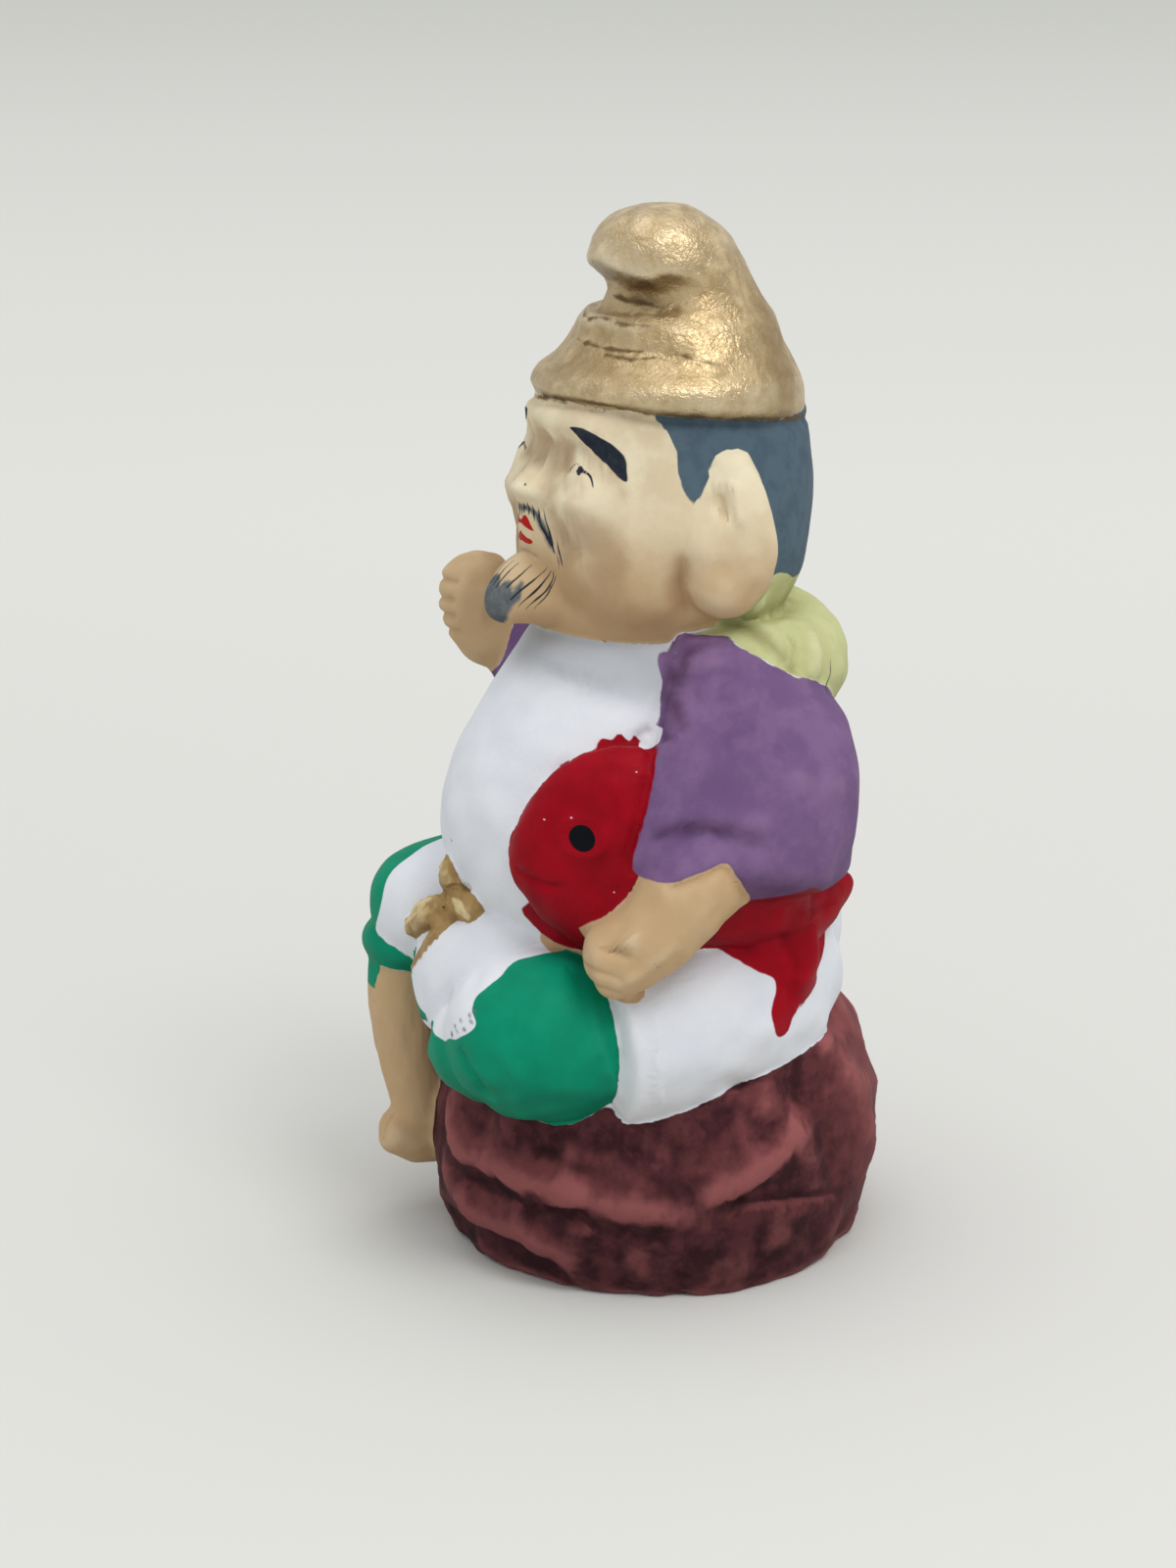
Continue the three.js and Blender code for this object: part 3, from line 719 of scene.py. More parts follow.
@dataclass(frozen=True)
class Arms(Part):
    """Both sleeves, the near forearm under the fish and the raised far hand."""

    sleeve_turn: float = 65.0
    sleeve: Sequence[Station] = (
        (49.6, 13.0, 14.0, 7.0, 7.0),
        (51.6, 11.6, 14.6, 11.4, 12.4),
        (55.0, 10.8, 15.0, 13.0, 14.8),
        (60.0, 11.0, 14.6, 13.4, 14.6),
        (66.0, 11.6, 13.6, 12.6, 13.2),
        (72.0, 10.8, 12.6, 10.8, 11.0),
        (77.4, 8.0, 12.0, 7.2, 8.4),
        (80.6, 6.0, 12.0, 3.6, 5.0),
    )
    sleeve_front: Sequence[Station] = (
        (18.0, -2.0, 74.0, 4.0, 3.4),
        (22.0, -5.4, 67.0, 5.0, 4.0),
        (22.8, -8.2, 61.0, 5.4, 4.0),
        (22.9, -9.6, 57.4, 5.6, 4.0),
        (22.7, -9.6, 54.8, 5.4, 3.8),
    )
    forearm: Sequence[Station] = (
        (19.0, 6.0, 57.0, 7.0, 7.0),
        (24.0, -3.0, 56.0, 6.6, 6.6),
        (25.4, -7.7, 53.0, 6.2, 6.0),
        (25.4, -11.4, 48.6, 5.6, 4.9),
        (24.0, -15.3, 45.2, 5.2, 4.4),
        (21.4, -19.2, 43.0, 5.0, 4.2),
    )
    far_sleeve: Sequence[Station] = (
        (-8.0, 3.0, 76.0, 7.0, 6.0),
        (-16.0, 3.0, 73.0, 8.4, 8.0),
        (-20.4, -1.0, 70.8, 8.0, 7.6),
        (-22.2, -6.4, 71.0, 6.6, 6.4),
        (-22.6, -11.0, 72.0, 5.0, 5.2),
    )
    far_hand: Sequence[Station] = (
        (-22.0, -6.0, 73.0, 4.6, 4.6),
        (-25.4, -10.8, 73.4, 5.0, 4.6),
        (-27.0, -12.0, 77.0, 5.0, 5.8),
        (-27.0, -11.8, 83.4, 4.6, 5.2),
    )

    sleeve_outline: Sequence[Spot] = (
        (-5.7, 78.0), (-6.2, 74.9), (-6.7, 73.7), (-7.7, 70.6), (-10.1, 68.9), (-11.3, 66.4), (-12.3, 63.7),
        (-13.2, 61.1), (-14.0, 58.6), (-14.5, 56.4), (-14.1, 54.9), (-12.6, 54.8), (-9.5, 55.9), (-7.4, 56.6),
        (-5.6, 56.9), (-4.5, 55.4), (-3.0, 53.2), (-1.6, 51.4), (1.0, 51.6), (6.4, 53.0), (8.1, 55.0), (11.0, 58.4),
        (14.0, 64.0), (12.0, 70.0), (5.0, 74.0), (0.0, 77.0))
    hand_outline: Sequence[Spot] = (
        (-13.8, 54.6), (-14.1, 52.5), (-15.6, 50.4), (-17.2, 49.1), (-18.2, 48.4), (-20.2, 45.9), (-20.5, 43.9),
        (-19.6, 41.4), (-18.2, 39.9), (-15.2, 39.1), (-13.4, 39.6), (-12.9, 42.2), (-10.0, 44.9), (-6.9, 46.3),
        (-4.2, 49.0), (-1.6, 51.2), (-3.0, 53.2), (-4.5, 55.4), (-5.6, 56.9), (-9.5, 55.9), (-12.4, 54.8))

    underside: Sequence[Spot] = (
        (10.4, 47.5), (11.0, 45.2), (12.3, 44.0), (14.6, 43.2), (17.4, 42.9), (18.8, 43.8), (19.0, 46.6),
        (17.6, 49.0), (13.0, 49.4))

    def marks(self) -> list[Mark | Patch]:
        """Returns the sleeve's front and the hand, where they cover the fish, and the painted shade along the sleeve's
        rolled front and above its cuff.
        """
        side = View.LEFT
        return [
            Patch(self.sleeve_outline, "coat", side, spread=0.2),
            Patch(self.sleeve_outline, "fish", side, away=True, crisp=False),
            Patch(self.hand_outline, "skin", side, spread=0.2),
            Patch(self.hand_outline, "fish", side, away=True, crisp=False),
            Patch(self.hand_outline, "coat", side, away=True, crisp=False),
            Patch(self.underside, "skin", View.FRONT, away=True, crisp=False),
            Patch(self.underside, "fish", View.FRONT, crisp=False),
            Patch([(12.0, 64.0), (18.4, 64.0), (18.6, 67.0), (18.4, 69.4), (16.8, 70.6), (12.0, 72.0)], "coat",
                  View.FRONT, away=True, crisp=False),
            # Painted shade along the rolled front of the sleeve and along the fold above the cuff.
            Mark([(-7.2, 71.8), (-6.5, 74.0), (-5.2, 76.6), (-4.2, 78.6), (-2.6, 80.0), (-0.4, 80.4)],
                 (0.5, 0.9, 0.9, 0.9, 0.7, 0.3), "coat_shade", side),
            Mark([(-12.4, 59.6), (-9.4, 60.6), (-5.6, 60.4), (-2.4, 59.0)], (0.1, 0.3, 0.3, 0.0), "coat_shade", side),
        ]

    def strokes(self) -> list[Stroke]:
        """Returns the sleeve's roll, hem and wrinkles and the fingers of both hands."""
        side, face = View.LEFT, View.FRONT
        grooves = [Stroke([(-31.0, z - 0.2), (-27.0, z), (-23.6, z + 0.2)], -0.45, 0.5, face, fade=0.1)
                   for z in (80.2, 77.8, 75.6, 73.4)]
        return [
            Stroke([(-5.4, 72.4), (-4.9, 74.6), (-3.8, 76.4), (-2.0, 77.2), (0.6, 77.4)], -0.5, 1.1, side),
            Stroke([(-6.6, 73.6), (-6.0, 75.8), (-4.7, 78.0), (-2.6, 79.1)], 0.4, 1.0, side),
            Stroke([(4.6, 75.0), (3.0, 71.6), (2.2, 67.6), (2.4, 64.0)], -0.25, 0.9, side),
            Stroke([(-8.2, 70.6), (-10.7, 68.8), (-11.9, 66.2), (-12.9, 63.6), (-13.8, 61.0), (-14.6, 58.6),
                    (-15.2, 56.4), (-14.4, 54.4)], -0.7, 0.7, side, fade=0.1),
            Stroke([(-12.8, 54.2), (-9.5, 55.2), (-6.0, 56.2), (-5.0, 55.0), (-3.4, 52.6), (-1.8, 50.9)],
                   -0.5, 0.6, side, fade=0.1),
            Stroke([(-13.0, 58.6), (-11.6, 59.4), (-9.4, 59.9), (-6.8, 60.1), (-3.3, 59.6), (-0.4, 57.6)],
                   -0.45, 0.9, side, fade=0.1),
            Stroke([(-12.8, 60.6), (-9.4, 61.9), (-3.3, 61.7), (1.0, 59.9)], 0.35, 1.0, side),
            Stroke([(3.6, 75.9), (1.5, 73.7), (-0.1, 70.8)], 0.2, 0.4, side),
            Stroke([(0.4, 70.4), (5.0, 69.2), (9.4, 70.2)], -0.3, 1.3, side),
            Stroke([(0.0, 67.2), (4.4, 65.6), (9.0, 63.4)], 0.35, 1.6, side),
            Stroke([(-17.3, 42.6), (-14.5, 45.4), (-11.9, 48.2)], 0.3, 0.8, side),
            Stroke([(-16.6, 48.0)], 0.8, 1.3, side),
            Stroke([(-19.8, 46.6), (-18.2, 46.7), (-16.8, 46.0)], -0.5, 0.55, side),
            Stroke([(-20.6, 44.2), (-18.8, 43.8), (-17.4, 43.0)], -0.35, 0.5, side),
            Stroke([(-20.2, 42.0), (-18.4, 41.6), (-17.0, 41.0)], -0.3, 0.5, side),
            *grooves,
        ]

    def sleeve_levels(self) -> list[Station]:
        """Returns the near sleeve's ovals, its offsets back and outwards turned into x and y."""
        angle = math.radians(self.sleeve_turn)
        c, s = math.cos(angle), math.sin(angle)
        return [(z, c * back + s * out, s * back - c * out, wide, deep)
                for z, back, out, wide, deep in self.sleeve]

    def forms(self) -> list[Form]:
        """Returns sleeves, forearm and hand."""
        return [
            Stack(Zone.COAT, self.sleeve_levels(), self.sleeve_turn, around=112, rows=72),
            Limb(Zone.COAT, self.sleeve_front, flat=(1.0, -0.5, 0.0), round_end=0.3),
            Limb(Zone.HAND, self.forearm, round_end=0.9),
            Limb(Zone.COAT, self.far_sleeve, round_end=0.35),
            Limb(Zone.HAND, self.far_hand, flat=(0.0, 1.0, 0.0), round_end=0.8),
        ]


@dataclass(frozen=True)
class Collar(Part):
    """The thick collar behind the neck."""

    half: Sequence[Station] = (
        (14.0, -5.0, 77.4, 3.6, 3.4),
        (16.0, 6.0, 75.8, 5.6, 5.4),
        (11.0, 14.4, 74.4, 5.8, 6.6),
    )
    middle: Station = (0.0, 17.6, 74.6, 5.9, 7.0)

    def forms(self) -> list[Form]:
        """Returns the collar, its other half mirrored."""
        mirrored = [(-x, y, z, wide, deep) for x, y, z, wide, deep in reversed(self.half)]
        return [Limb(Zone.COLLAR, [*self.half, self.middle, *mirrored], rows=96)]

    def strokes(self) -> list[Stroke]:
        """Returns the fold on each side of the collar."""
        return [
            Stroke([(10.0, 81.0), (9.0, 78.6), (7.9, 75.6)], -0.9, 1.5, View.LEFT, both=True),
            Stroke([(12.6, 80.2), (11.8, 77.6), (10.8, 74.6)], 0.6, 1.1, View.LEFT, both=True),
            Stroke([(4.4, 83.4), (7.4, 84.0)], 1.0, 2.6, View.LEFT, both=True),
        ]

    def marks(self) -> list[Mark | Patch]:
        """Returns the collar's edge below the ear, the painted shade along its lower front and its crack."""
        edge = [(9.6, 87.0), (7.0, 86.8), (5.7, 86.5), (4.4, 85.6), (3.0, 84.2), (1.4, 82.6), (0.5, 81.3), (1.2, 80.6),
                (2.9, 80.6), (3.9, 80.1), (4.9, 79.2), (6.1, 77.9), (8.1, 75.8), (9.4, 75.6),
                (13.0, 78.0), (13.0, 85.0)]
        return [Patch(edge, "collar", View.LEFT, both=True),
                Patch(edge, "coat", View.LEFT, both=True, away=True, crisp=False),
                # Painted shade on the collar's lower front, by the coat.
                Mark([(2.2, 81.6), (3.8, 81.2), (5.3, 80.0), (6.6, 78.6)], (0.6, 0.9, 0.9, 0.5), "collar_shade", View.LEFT, both=True),
                Mark([(14.7, 76.6), (14.5, 75.6), (14.3, 74.6), (13.3, 73.4), (12.9, 72.8)],
                     (0.04, 0.1, 0.12, 0.1, 0.05), "ink", View.LEFT)]


@dataclass(frozen=True)
class Head(Part):
    """Head with its cheeks, eye sockets, nose and chin, the tuft of beard and the long ears."""

    skull: Sequence[Station] = (
        (75.2, 0.0, HEAD_Y - 1.0, 6.0, 6.0),
        (76.8, 0.0, HEAD_Y - 1.6, 10.2, 11.4),
        (79.4, 0.0, HEAD_Y - 1.6, 13.2, 14.6),
        (CHIN - 3.4, 0.0, HEAD_Y - 1.4, 15.4, 16.5),
        (CHIN, 0.0, HEAD_Y - 0.8, 16.7, 17.4),
        (CHIN + 3.4, 0.0, HEAD_Y - 0.4, 17.4, 17.6),
        (CHIN + 6.6, 0.0, HEAD_Y, 17.5, 17.5),
        (EYES - 3.8, 0.0, HEAD_Y + 0.4, 17.1, 17.4),
        (EYES - 0.8, 0.0, HEAD_Y + 0.4, 16.6, 17.3),
        (EYES + 3.0, 0.0, HEAD_Y + 0.3, 15.8, 17.0),
        (BRIM, 0.0, HEAD_Y, 15.0, 16.5),
        (BRIM + 4.0, 0.0, HEAD_Y, 13.0, 14.0),
    )
    tuft: Sequence[Station] = (
        (0.0, -12.0, 84.6, 8.0, 5.6),
        (0.0, -17.0, 84.0, 5.2, 4.0),
        (0.0, -22.4, 82.2, 2.2, 1.7),
    )
    ear: Sequence[Station] = (
        (15.0, 1.7, 102.6, 2.4, 1.7),
        (16.6, 1.9, 97.0, 4.3, 2.2),
        (17.2, 1.3, 90.0, 5.8, 2.8),
        (15.6, -1.0, 83.4, 4.4, 3.0),
    )

    brow: Sequence[Spot] = (
        (6.1, 105.1), (7.4, 105.3), (8.7, 105.2), (10.3, 104.1), (11.2, 103.2), (11.9, 101.9), (12.2, 100.6),
        (12.4, 99.3), (11.8, 99.8), (10.9, 101.0), (9.4, 102.4), (7.9, 103.8), (6.7, 104.6))
    upper_lip: Sequence[Spot] = (
        (-0.2, 93.2), (0.3, 93.3), (0.8, 93.9), (1.3, 93.6), (1.8, 92.8), (2.2, 92.1), (1.6, 92.2), (0.9, 92.5),
        (0.3, 92.8), (-0.2, 92.8))
    lower_lip: Sequence[Spot] = (
        (-0.2, 91.8), (0.4, 91.6), (1.1, 91.2), (1.8, 91.0), (2.0, 90.7), (1.4, 90.4), (0.6, 90.5), (-0.2, 90.8))
    eye: Sequence[tuple[Sequence[Spot], Sequence[float]]] = (
        (((6.6, 99.7), (6.8, 100.4), (7.5, 100.9), (8.3, 100.7), (9.1, 100.2), (9.9, 99.7), (10.4, 99.1),
          (10.7, 98.6)), (0.08, 0.16, 0.17, 0.18, 0.17, 0.12, 0.08)),
        (((8.5, 100.5), (8.7, 100.0)), (0.34, 0.4, 0.34)),
        (((1.5, 97.8), (1.6, 97.7)), (0.16, 0.16)),
    )
    hairs: Sequence[tuple[Sequence[Spot], Sequence[float]]] = (
        (((0.2, 95.4), (0.3, 94.3), (0.3, 93.6)), (0.05, 0.12, 0.05)),
        (((0.9, 95.5), (0.8, 94.8), (0.7, 94.0)), (0.05, 0.13, 0.05)),
        (((1.6, 95.5), (1.5, 94.7), (1.4, 93.9)), (0.05, 0.13, 0.05)),
        (((2.2, 95.3), (2.1, 94.2), (2.3, 93.3)), (0.05, 0.14, 0.06)),
        (((2.9, 95.1), (2.8, 94.1), (3.1, 93.2)), (0.05, 0.14, 0.06)),
        (((3.5, 94.9), (3.7, 93.9), (4.2, 92.5), (4.7, 91.1), (5.3, 89.8)), (0.05, 0.12, 0.18, 0.2, 0.06)),
        (((2.5, 93.8), (3.3, 92.6), (4.2, 91.4), (5.2, 90.1)), (0.05, 0.18, 0.22, 0.05)),
        (((5.4, 91.9), (6.0, 90.4), (6.4, 89.2), (6.6, 88.0)), (0.04, 0.13, 0.12, 0.04)),
        (((5.6, 90.0), (5.9, 89.0), (6.0, 87.9)), (0.04, 0.1, 0.04)),
        (((0.6, 88.4), (0.5, 87.0), (0.4, 85.6)), (0.04, 0.1, 0.1)),
        (((1.5, 88.2), (1.4, 87.0), (1.1, 85.4)), (0.04, 0.1, 0.1)),
        (((2.7, 88.1), (2.8, 87.0), (2.4, 85.6)), (0.04, 0.12, 0.1)),
        (((4.1, 88.0), (4.0, 86.3), (3.1, 84.2)), (0.04, 0.13, 0.1)),
        (((4.7, 87.7), (4.7, 85.6), (3.6, 83.4)), (0.04, 0.13, 0.06)),
        (((5.1, 87.6), (5.3, 85.5), (3.9, 83.0)), (0.04, 0.12, 0.05)),
        (((5.5, 87.2), (5.4, 84.9), (4.4, 83.1)), (0.04, 0.1, 0.05)),
    )
    washes: Sequence[tuple[Sequence[Spot], Sequence[float]]] = (
        (((2.3, 94.3), (3.3, 92.9), (4.2, 91.5), (5.1, 90.1)), (0.3, 0.5, 0.45, 0.1)),
        (((0.3, 94.7), (1.3, 94.8), (2.3, 94.3)), (0.3, 0.35, 0.3)),
        (((0.0, 85.6), (0.6, 84.2), (0.4, 82.0)), (1.4, 2.4, 2.0)),
        (((2.2, 85.6), (2.4, 84.0), (1.8, 82.2)), (0.8, 1.5, 1.3)),
        (((3.4, 86.2), (3.4, 84.6), (2.6, 83.0)), (0.2, 0.6, 0.5)),
    )

    # A brown tint and painted shade in the eye sockets, beside the nose, in the folds by the mouth, on the lower cheeks
    # and under the chin and jaw.
    tints_and_shades: Sequence[tuple[Sequence[Spot], Sequence[float], View]] = (
        (((3.6, 101.6), (5.0, 100.8), (6.0, 99.8)), (0.6, 1.0, 0.4), View.FRONT),
        (((8.4, 102.6), (10.2, 101.4), (11.8, 99.4), (12.6, 97.6)), (0.2, 0.6, 0.6, 0.1), View.FRONT),
        (((3.6, 98.8), (4.3, 97.2), (4.0, 95.8)), (0.4, 0.8, 0.4), View.FRONT),
        (((4.8, 95.0), (6.6, 93.2), (7.6, 90.8), (7.2, 88.4)), (0.6, 1.4, 1.6, 1.0), View.FRONT),
        (((9.4, 96.2), (11.2, 93.4), (12.4, 90.4), (12.2, 87.0)), (0.8, 1.8, 2.4, 2.4), View.FRONT),
        (((1.0, 89.2), (5.0, 87.2), (9.0, 85.4), (11.6, 83.6)), (0.5, 1.4, 2.4, 2.4), View.FRONT),
        (((-11.4, 83.6), (-8.0, 82.4), (-5.2, 83.6), (-4.7, 87.0), (-4.5, 90.0)), (2.0, 1.8, 1.4, 1.2, 0.2), View.LEFT),
    )

    def forms(self) -> list[Form]:
        """Returns skull, tuft and both ears."""
        ears = [Limb(Zone.EAR, [(s * x, y, z, wide, deep) for x, y, z, wide, deep in self.ear],
                     flat=(s, -0.25, 0.0)) for s in (1.0, -1.0)]
        return [
            Stack(Zone.HEAD, self.skull, around=128, rows=96),
            Limb(Zone.HEAD, self.tuft),
            *ears,
        ]

    def strokes(self) -> list[Stroke]:
        """Returns cheeks, sockets, brows, nose, mouth, jaw and the folds of face and ears."""
        face, side = View.FRONT, View.LEFT
        return [
            Stroke([(8.0, 96.0)], 3.0, 4.4, face, both=True),
            Stroke([(-8.0, EYES + 4.6), (0.0, EYES + 5.0), (8.0, EYES + 4.6)], 0.8, 2.4, face, fade=0.0),
            Stroke([(5.4, EYES + 1.6)], -1.0, 2.3, face, both=True),
            Stroke([(6.5, EYES + 5.2), (9.5, EYES + 4.0), (11.5, EYES + 1.5)], 0.4, 1.8, face, both=True),
            Stroke([(11.0, CHIN + 1.0)], 0.9, 6.0, face, both=True),
            Stroke([(0.0, EYES + 1.8)], -2.0, 2.0, face),
            Stroke([(0.0, EYES - 2.9)], 3.7, 2.5, face),
            Stroke([(2.4, EYES - 3.4)], 0.8, 1.4, face, both=True),
            Stroke([(0.0, EYES - 8.0)], 2.1, 3.2, face),
            Stroke([(0.0, CHIN + 0.6)], 1.2, 3.6, face),
            Stroke([(3.6, 94.4), (5.8, 93.0), (7.8, 91.7), (9.4, 89.6)], -0.7, 1.2, face, both=True),
            Stroke([(-0.4, 98.4), (-0.7, 95.4)], -0.8, 1.6, side, both=True),
            Stroke([(-3.0, 92.0)], 0.9, 2.6, side, both=True),
            Stroke([(-0.4, 86.0)], 1.0, 3.2, side, both=True),
            Stroke([(-4.3, 91.0), (-4.7, 88.5), (-4.8, 86.6), (-3.9, 84.6), (-2.7, 82.6)], -0.9, 1.1, side, both=True),
            Stroke([(1.5, 99.6), (1.5, 96.8), (1.4, 94.2)], 0.45, 0.8, side, both=True),
            Stroke([(0.2, 99.2), (0.0, 96.6), (0.2, 94.4)], -0.35, 0.8, side, both=True),
            Stroke([(-1.9, 89.8), (-0.5, 89.2), (0.6, 88.5), (3.4, 85.5)], -0.3, 1.2, side, both=True),
            Stroke([(6.6, 98.9), (8.3, 99.8), (10.3, 99.0)], 0.35, 0.8, face, both=True),
            Stroke([(6.4, 98.2), (8.6, 97.4), (10.6, 97.2)], -0.25, 0.8, face, both=True),
        ]

    def marks(self) -> list[Mark | Patch]:
        """Returns eyebrows, eyes, nostrils, lips, moustache and beard, and a brown tint with painted shade round eyes,
        nose, mouth and jaw.
        """
        face = View.FRONT
        lines = [Mark(path, widths, "ink", face, both=True) for path, widths in (*self.eye, *self.hairs)]
        wash = [Mark(path, widths, "wash", face, both=True) for path, widths in self.washes]
        tint_and_shade = [Mark(path, widths, "tint_and_shade", view, both=True) for path, widths, view in self.tints_and_shades]
        return [
            *tint_and_shade,
            Patch(self.brow, "ink", face, both=True),
            Patch(self.upper_lip, "lip", face, both=True),
            Patch(self.lower_lip, "lip", face, both=True),
            *lines,
            *wash,
        ]


@dataclass(frozen=True)
class Cap(Part):
    """The soft cap: a brim band, and a leaning crown whose tip hangs forward over a hollow."""

    crown: Sequence[Station] = (
        (BRIM - 0.4, 0.0, HEAD_Y - 0.3, 16.0, 15.8),
        (BRIM + 0.6, 0.0, HEAD_Y - 0.3, 16.8, 16.6),
        (BRIM + 3.0, 0.0, HEAD_Y, 16.6, 15.9),
        (BRIM + 5.0, 0.0, HEAD_Y + 0.5, 15.2, 14.2),
        (BRIM + 7.6, 0.0, HEAD_Y + 0.9, 13.2, 12.7),
        (BRIM + 9.8, 0.0, HEAD_Y + 1.2, 11.9, 11.8),
        (TOP - 11.7, 0.0, HEAD_Y + 1.7, 10.4, 10.1),
        (TOP - 9.0, 0.0, HEAD_Y + 0.9, 9.5, 9.3),
        (TOP - 6.0, 0.0, HEAD_Y - 0.6, 9.0, 9.2),
        (TOP - 3.4, 0.0, HEAD_Y - 1.2, 7.8, 8.0),
        (TOP - 1.2, 0.0, HEAD_Y - 1.6, 5.4, 5.6),
        (TOP, 0.0, HEAD_Y - 0.8, 2.4, 2.4),
    )
    tilt: float = 0.11
    level_at: float = 6.0
    hollow: Sequence[Station] = (
        (10.6, 2.6, TOP - 9.0, 1.0, 1.0),
        (9.6, -2.4, TOP - 9.4, 3.0, 2.4),
        (5.0, -7.4, TOP - 10.6, 2.6, 2.2),
    )
    hollow_middle: Station = (0.0, -9.0, TOP - 11.6, 1.8, 1.5)
    lower_edge: Sequence[Spot] = (
        (-140, 107.4), (-109, 107.3), (-85, 108.0), (-66, 108.3), (-56, 108.4), (-47, 108.3), (-38, 107.7),
        (-27, 107.2), (-18, 107.0), (3, 106.6), (19, 106.1), (59, 104.9), (90, 104.6))

    def forms(self) -> list[Form]:
        """Returns the crown."""
        return [Stack(Zone.CAP, self.crown, tilt=self.tilt, level_at=self.level_at, around=128, rows=112)]

    def cut(self) -> Form:
        """Returns the form that is cut out of the crown."""
        mirrored = [(-x, y, z, wide, deep) for x, y, z, wide, deep in reversed(self.hollow)]
        return Limb(Zone.CAP, [*self.hollow, self.hollow_middle, *mirrored], flat=(0.0, 1.0, 0.3))

    def strokes(self) -> list[Stroke]:
        """Returns the wrinkles above the brim and under the tip."""
        ring = View.ROUND
        return [
            Stroke([(-120, BRIM + 7.4), (-80, BRIM + 8.2), (-40, BRIM + 7.4), (0, BRIM + 6.6)], -0.4, 1.0, ring),
            Stroke([(-110, BRIM + 9.0), (-70, BRIM + 9.8), (-35, BRIM + 9.0)], 0.3, 1.0, ring),
            Stroke([(-100, BRIM + 11.0), (-60, BRIM + 11.4), (-40, BRIM + 10.6)], -0.3, 0.9, ring),
            Stroke([(-60, BRIM + 5.8), (-20, BRIM + 5.6), (30, BRIM + 5.4), (60, BRIM + 4.8)], -0.25, 1.2, ring),
            Stroke([(60, BRIM + 6.8), (110, BRIM + 6.2), (170, BRIM + 6.6), (220, BRIM + 6.4)], -0.3, 1.3, ring),
            Stroke([(-166, 119.0), (-132, 119.8), (-113, 120.3), (-90, 120.5), (-67, 120.3), (-48, 119.8),
                    (-14, 119.0)], -0.9, 1.3, ring),
            Stroke([(-170, 120.4), (-146, 122.4), (-123, 123.1), (-96, 124.2), (-84, 124.2), (-57, 123.1),
                    (-34, 122.4), (-10, 120.4)], 0.45, 1.0, ring),
            Stroke([(-168, 117.9), (-133, 117.2), (-90, 117.0), (-47, 117.2), (-28, 117.5), (-12, 117.9)],
                   0.4, 0.8, ring),
            Stroke([(turn, z - 0.7) for turn, z in self.lower_edge], -0.4, 0.6, ring, fade=0.1),
        ]


    def marks(self) -> list[Mark | Patch]:
        """Returns the broken dark lines where dirt sits in the wrinkles, and soft clouds of soot and painted shade on
        the cap.
        """
        lines = (
            ([(-100, 114.4), (-81, 114.2), (-66, 114.1), (-52, 114.1), (-35, 114.2)], (0.0, 0.2, 0.05, 0.25, 0.0)),
            ([(-58, 113.4), (-40, 113.2), (-26, 113.7)], (0.0, 0.3, 0.0)),
            ([(-121, 117.0), (-90, 116.6), (-71, 116.8), (-47, 116.7), (-30, 116.9)], (0.0, 0.2, 0.1, 0.2, 0.0)),
            ([(-24, 113.6), (-15, 114.0), (-4, 113.2), (5, 112.7)], (0.0, 0.15, 0.1, 0.0)),
            ([(-90, 119.6), (-67, 119.2), (-40, 118.9), (-16, 118.4)], (0.0, 0.35, 0.3, 0.0)),
            ([(turn, z - 0.1) for turn, z in self.lower_edge], (0.0, 0.2, 0.05, 0.25, 0.1)),
        )
        # Soot and painted shade: the cap darker on one side, above the brim and under the tip.
        clouds = (
            ([(36, 107.6), (40, 111.0), (48, 115.0), (60, 119.0)], (2.4, 3.4, 3.4, 2.0)),
            ([(-112, 109.6), (-90, 111.0), (-64, 111.8), (-38, 110.6)], (0.4, 1.4, 1.6, 0.4)),
            ([(-96, 117.6), (-70, 117.2), (-40, 116.8), (-20, 116.2)], (0.2, 1.0, 1.0, 0.2)),
        )
        return [*(Mark(path, widths, "soot", View.ROUND) for path, widths in lines),
                *(Mark(path, widths, "cap_shade_and_soot", View.ROUND) for path, widths in clouds)]


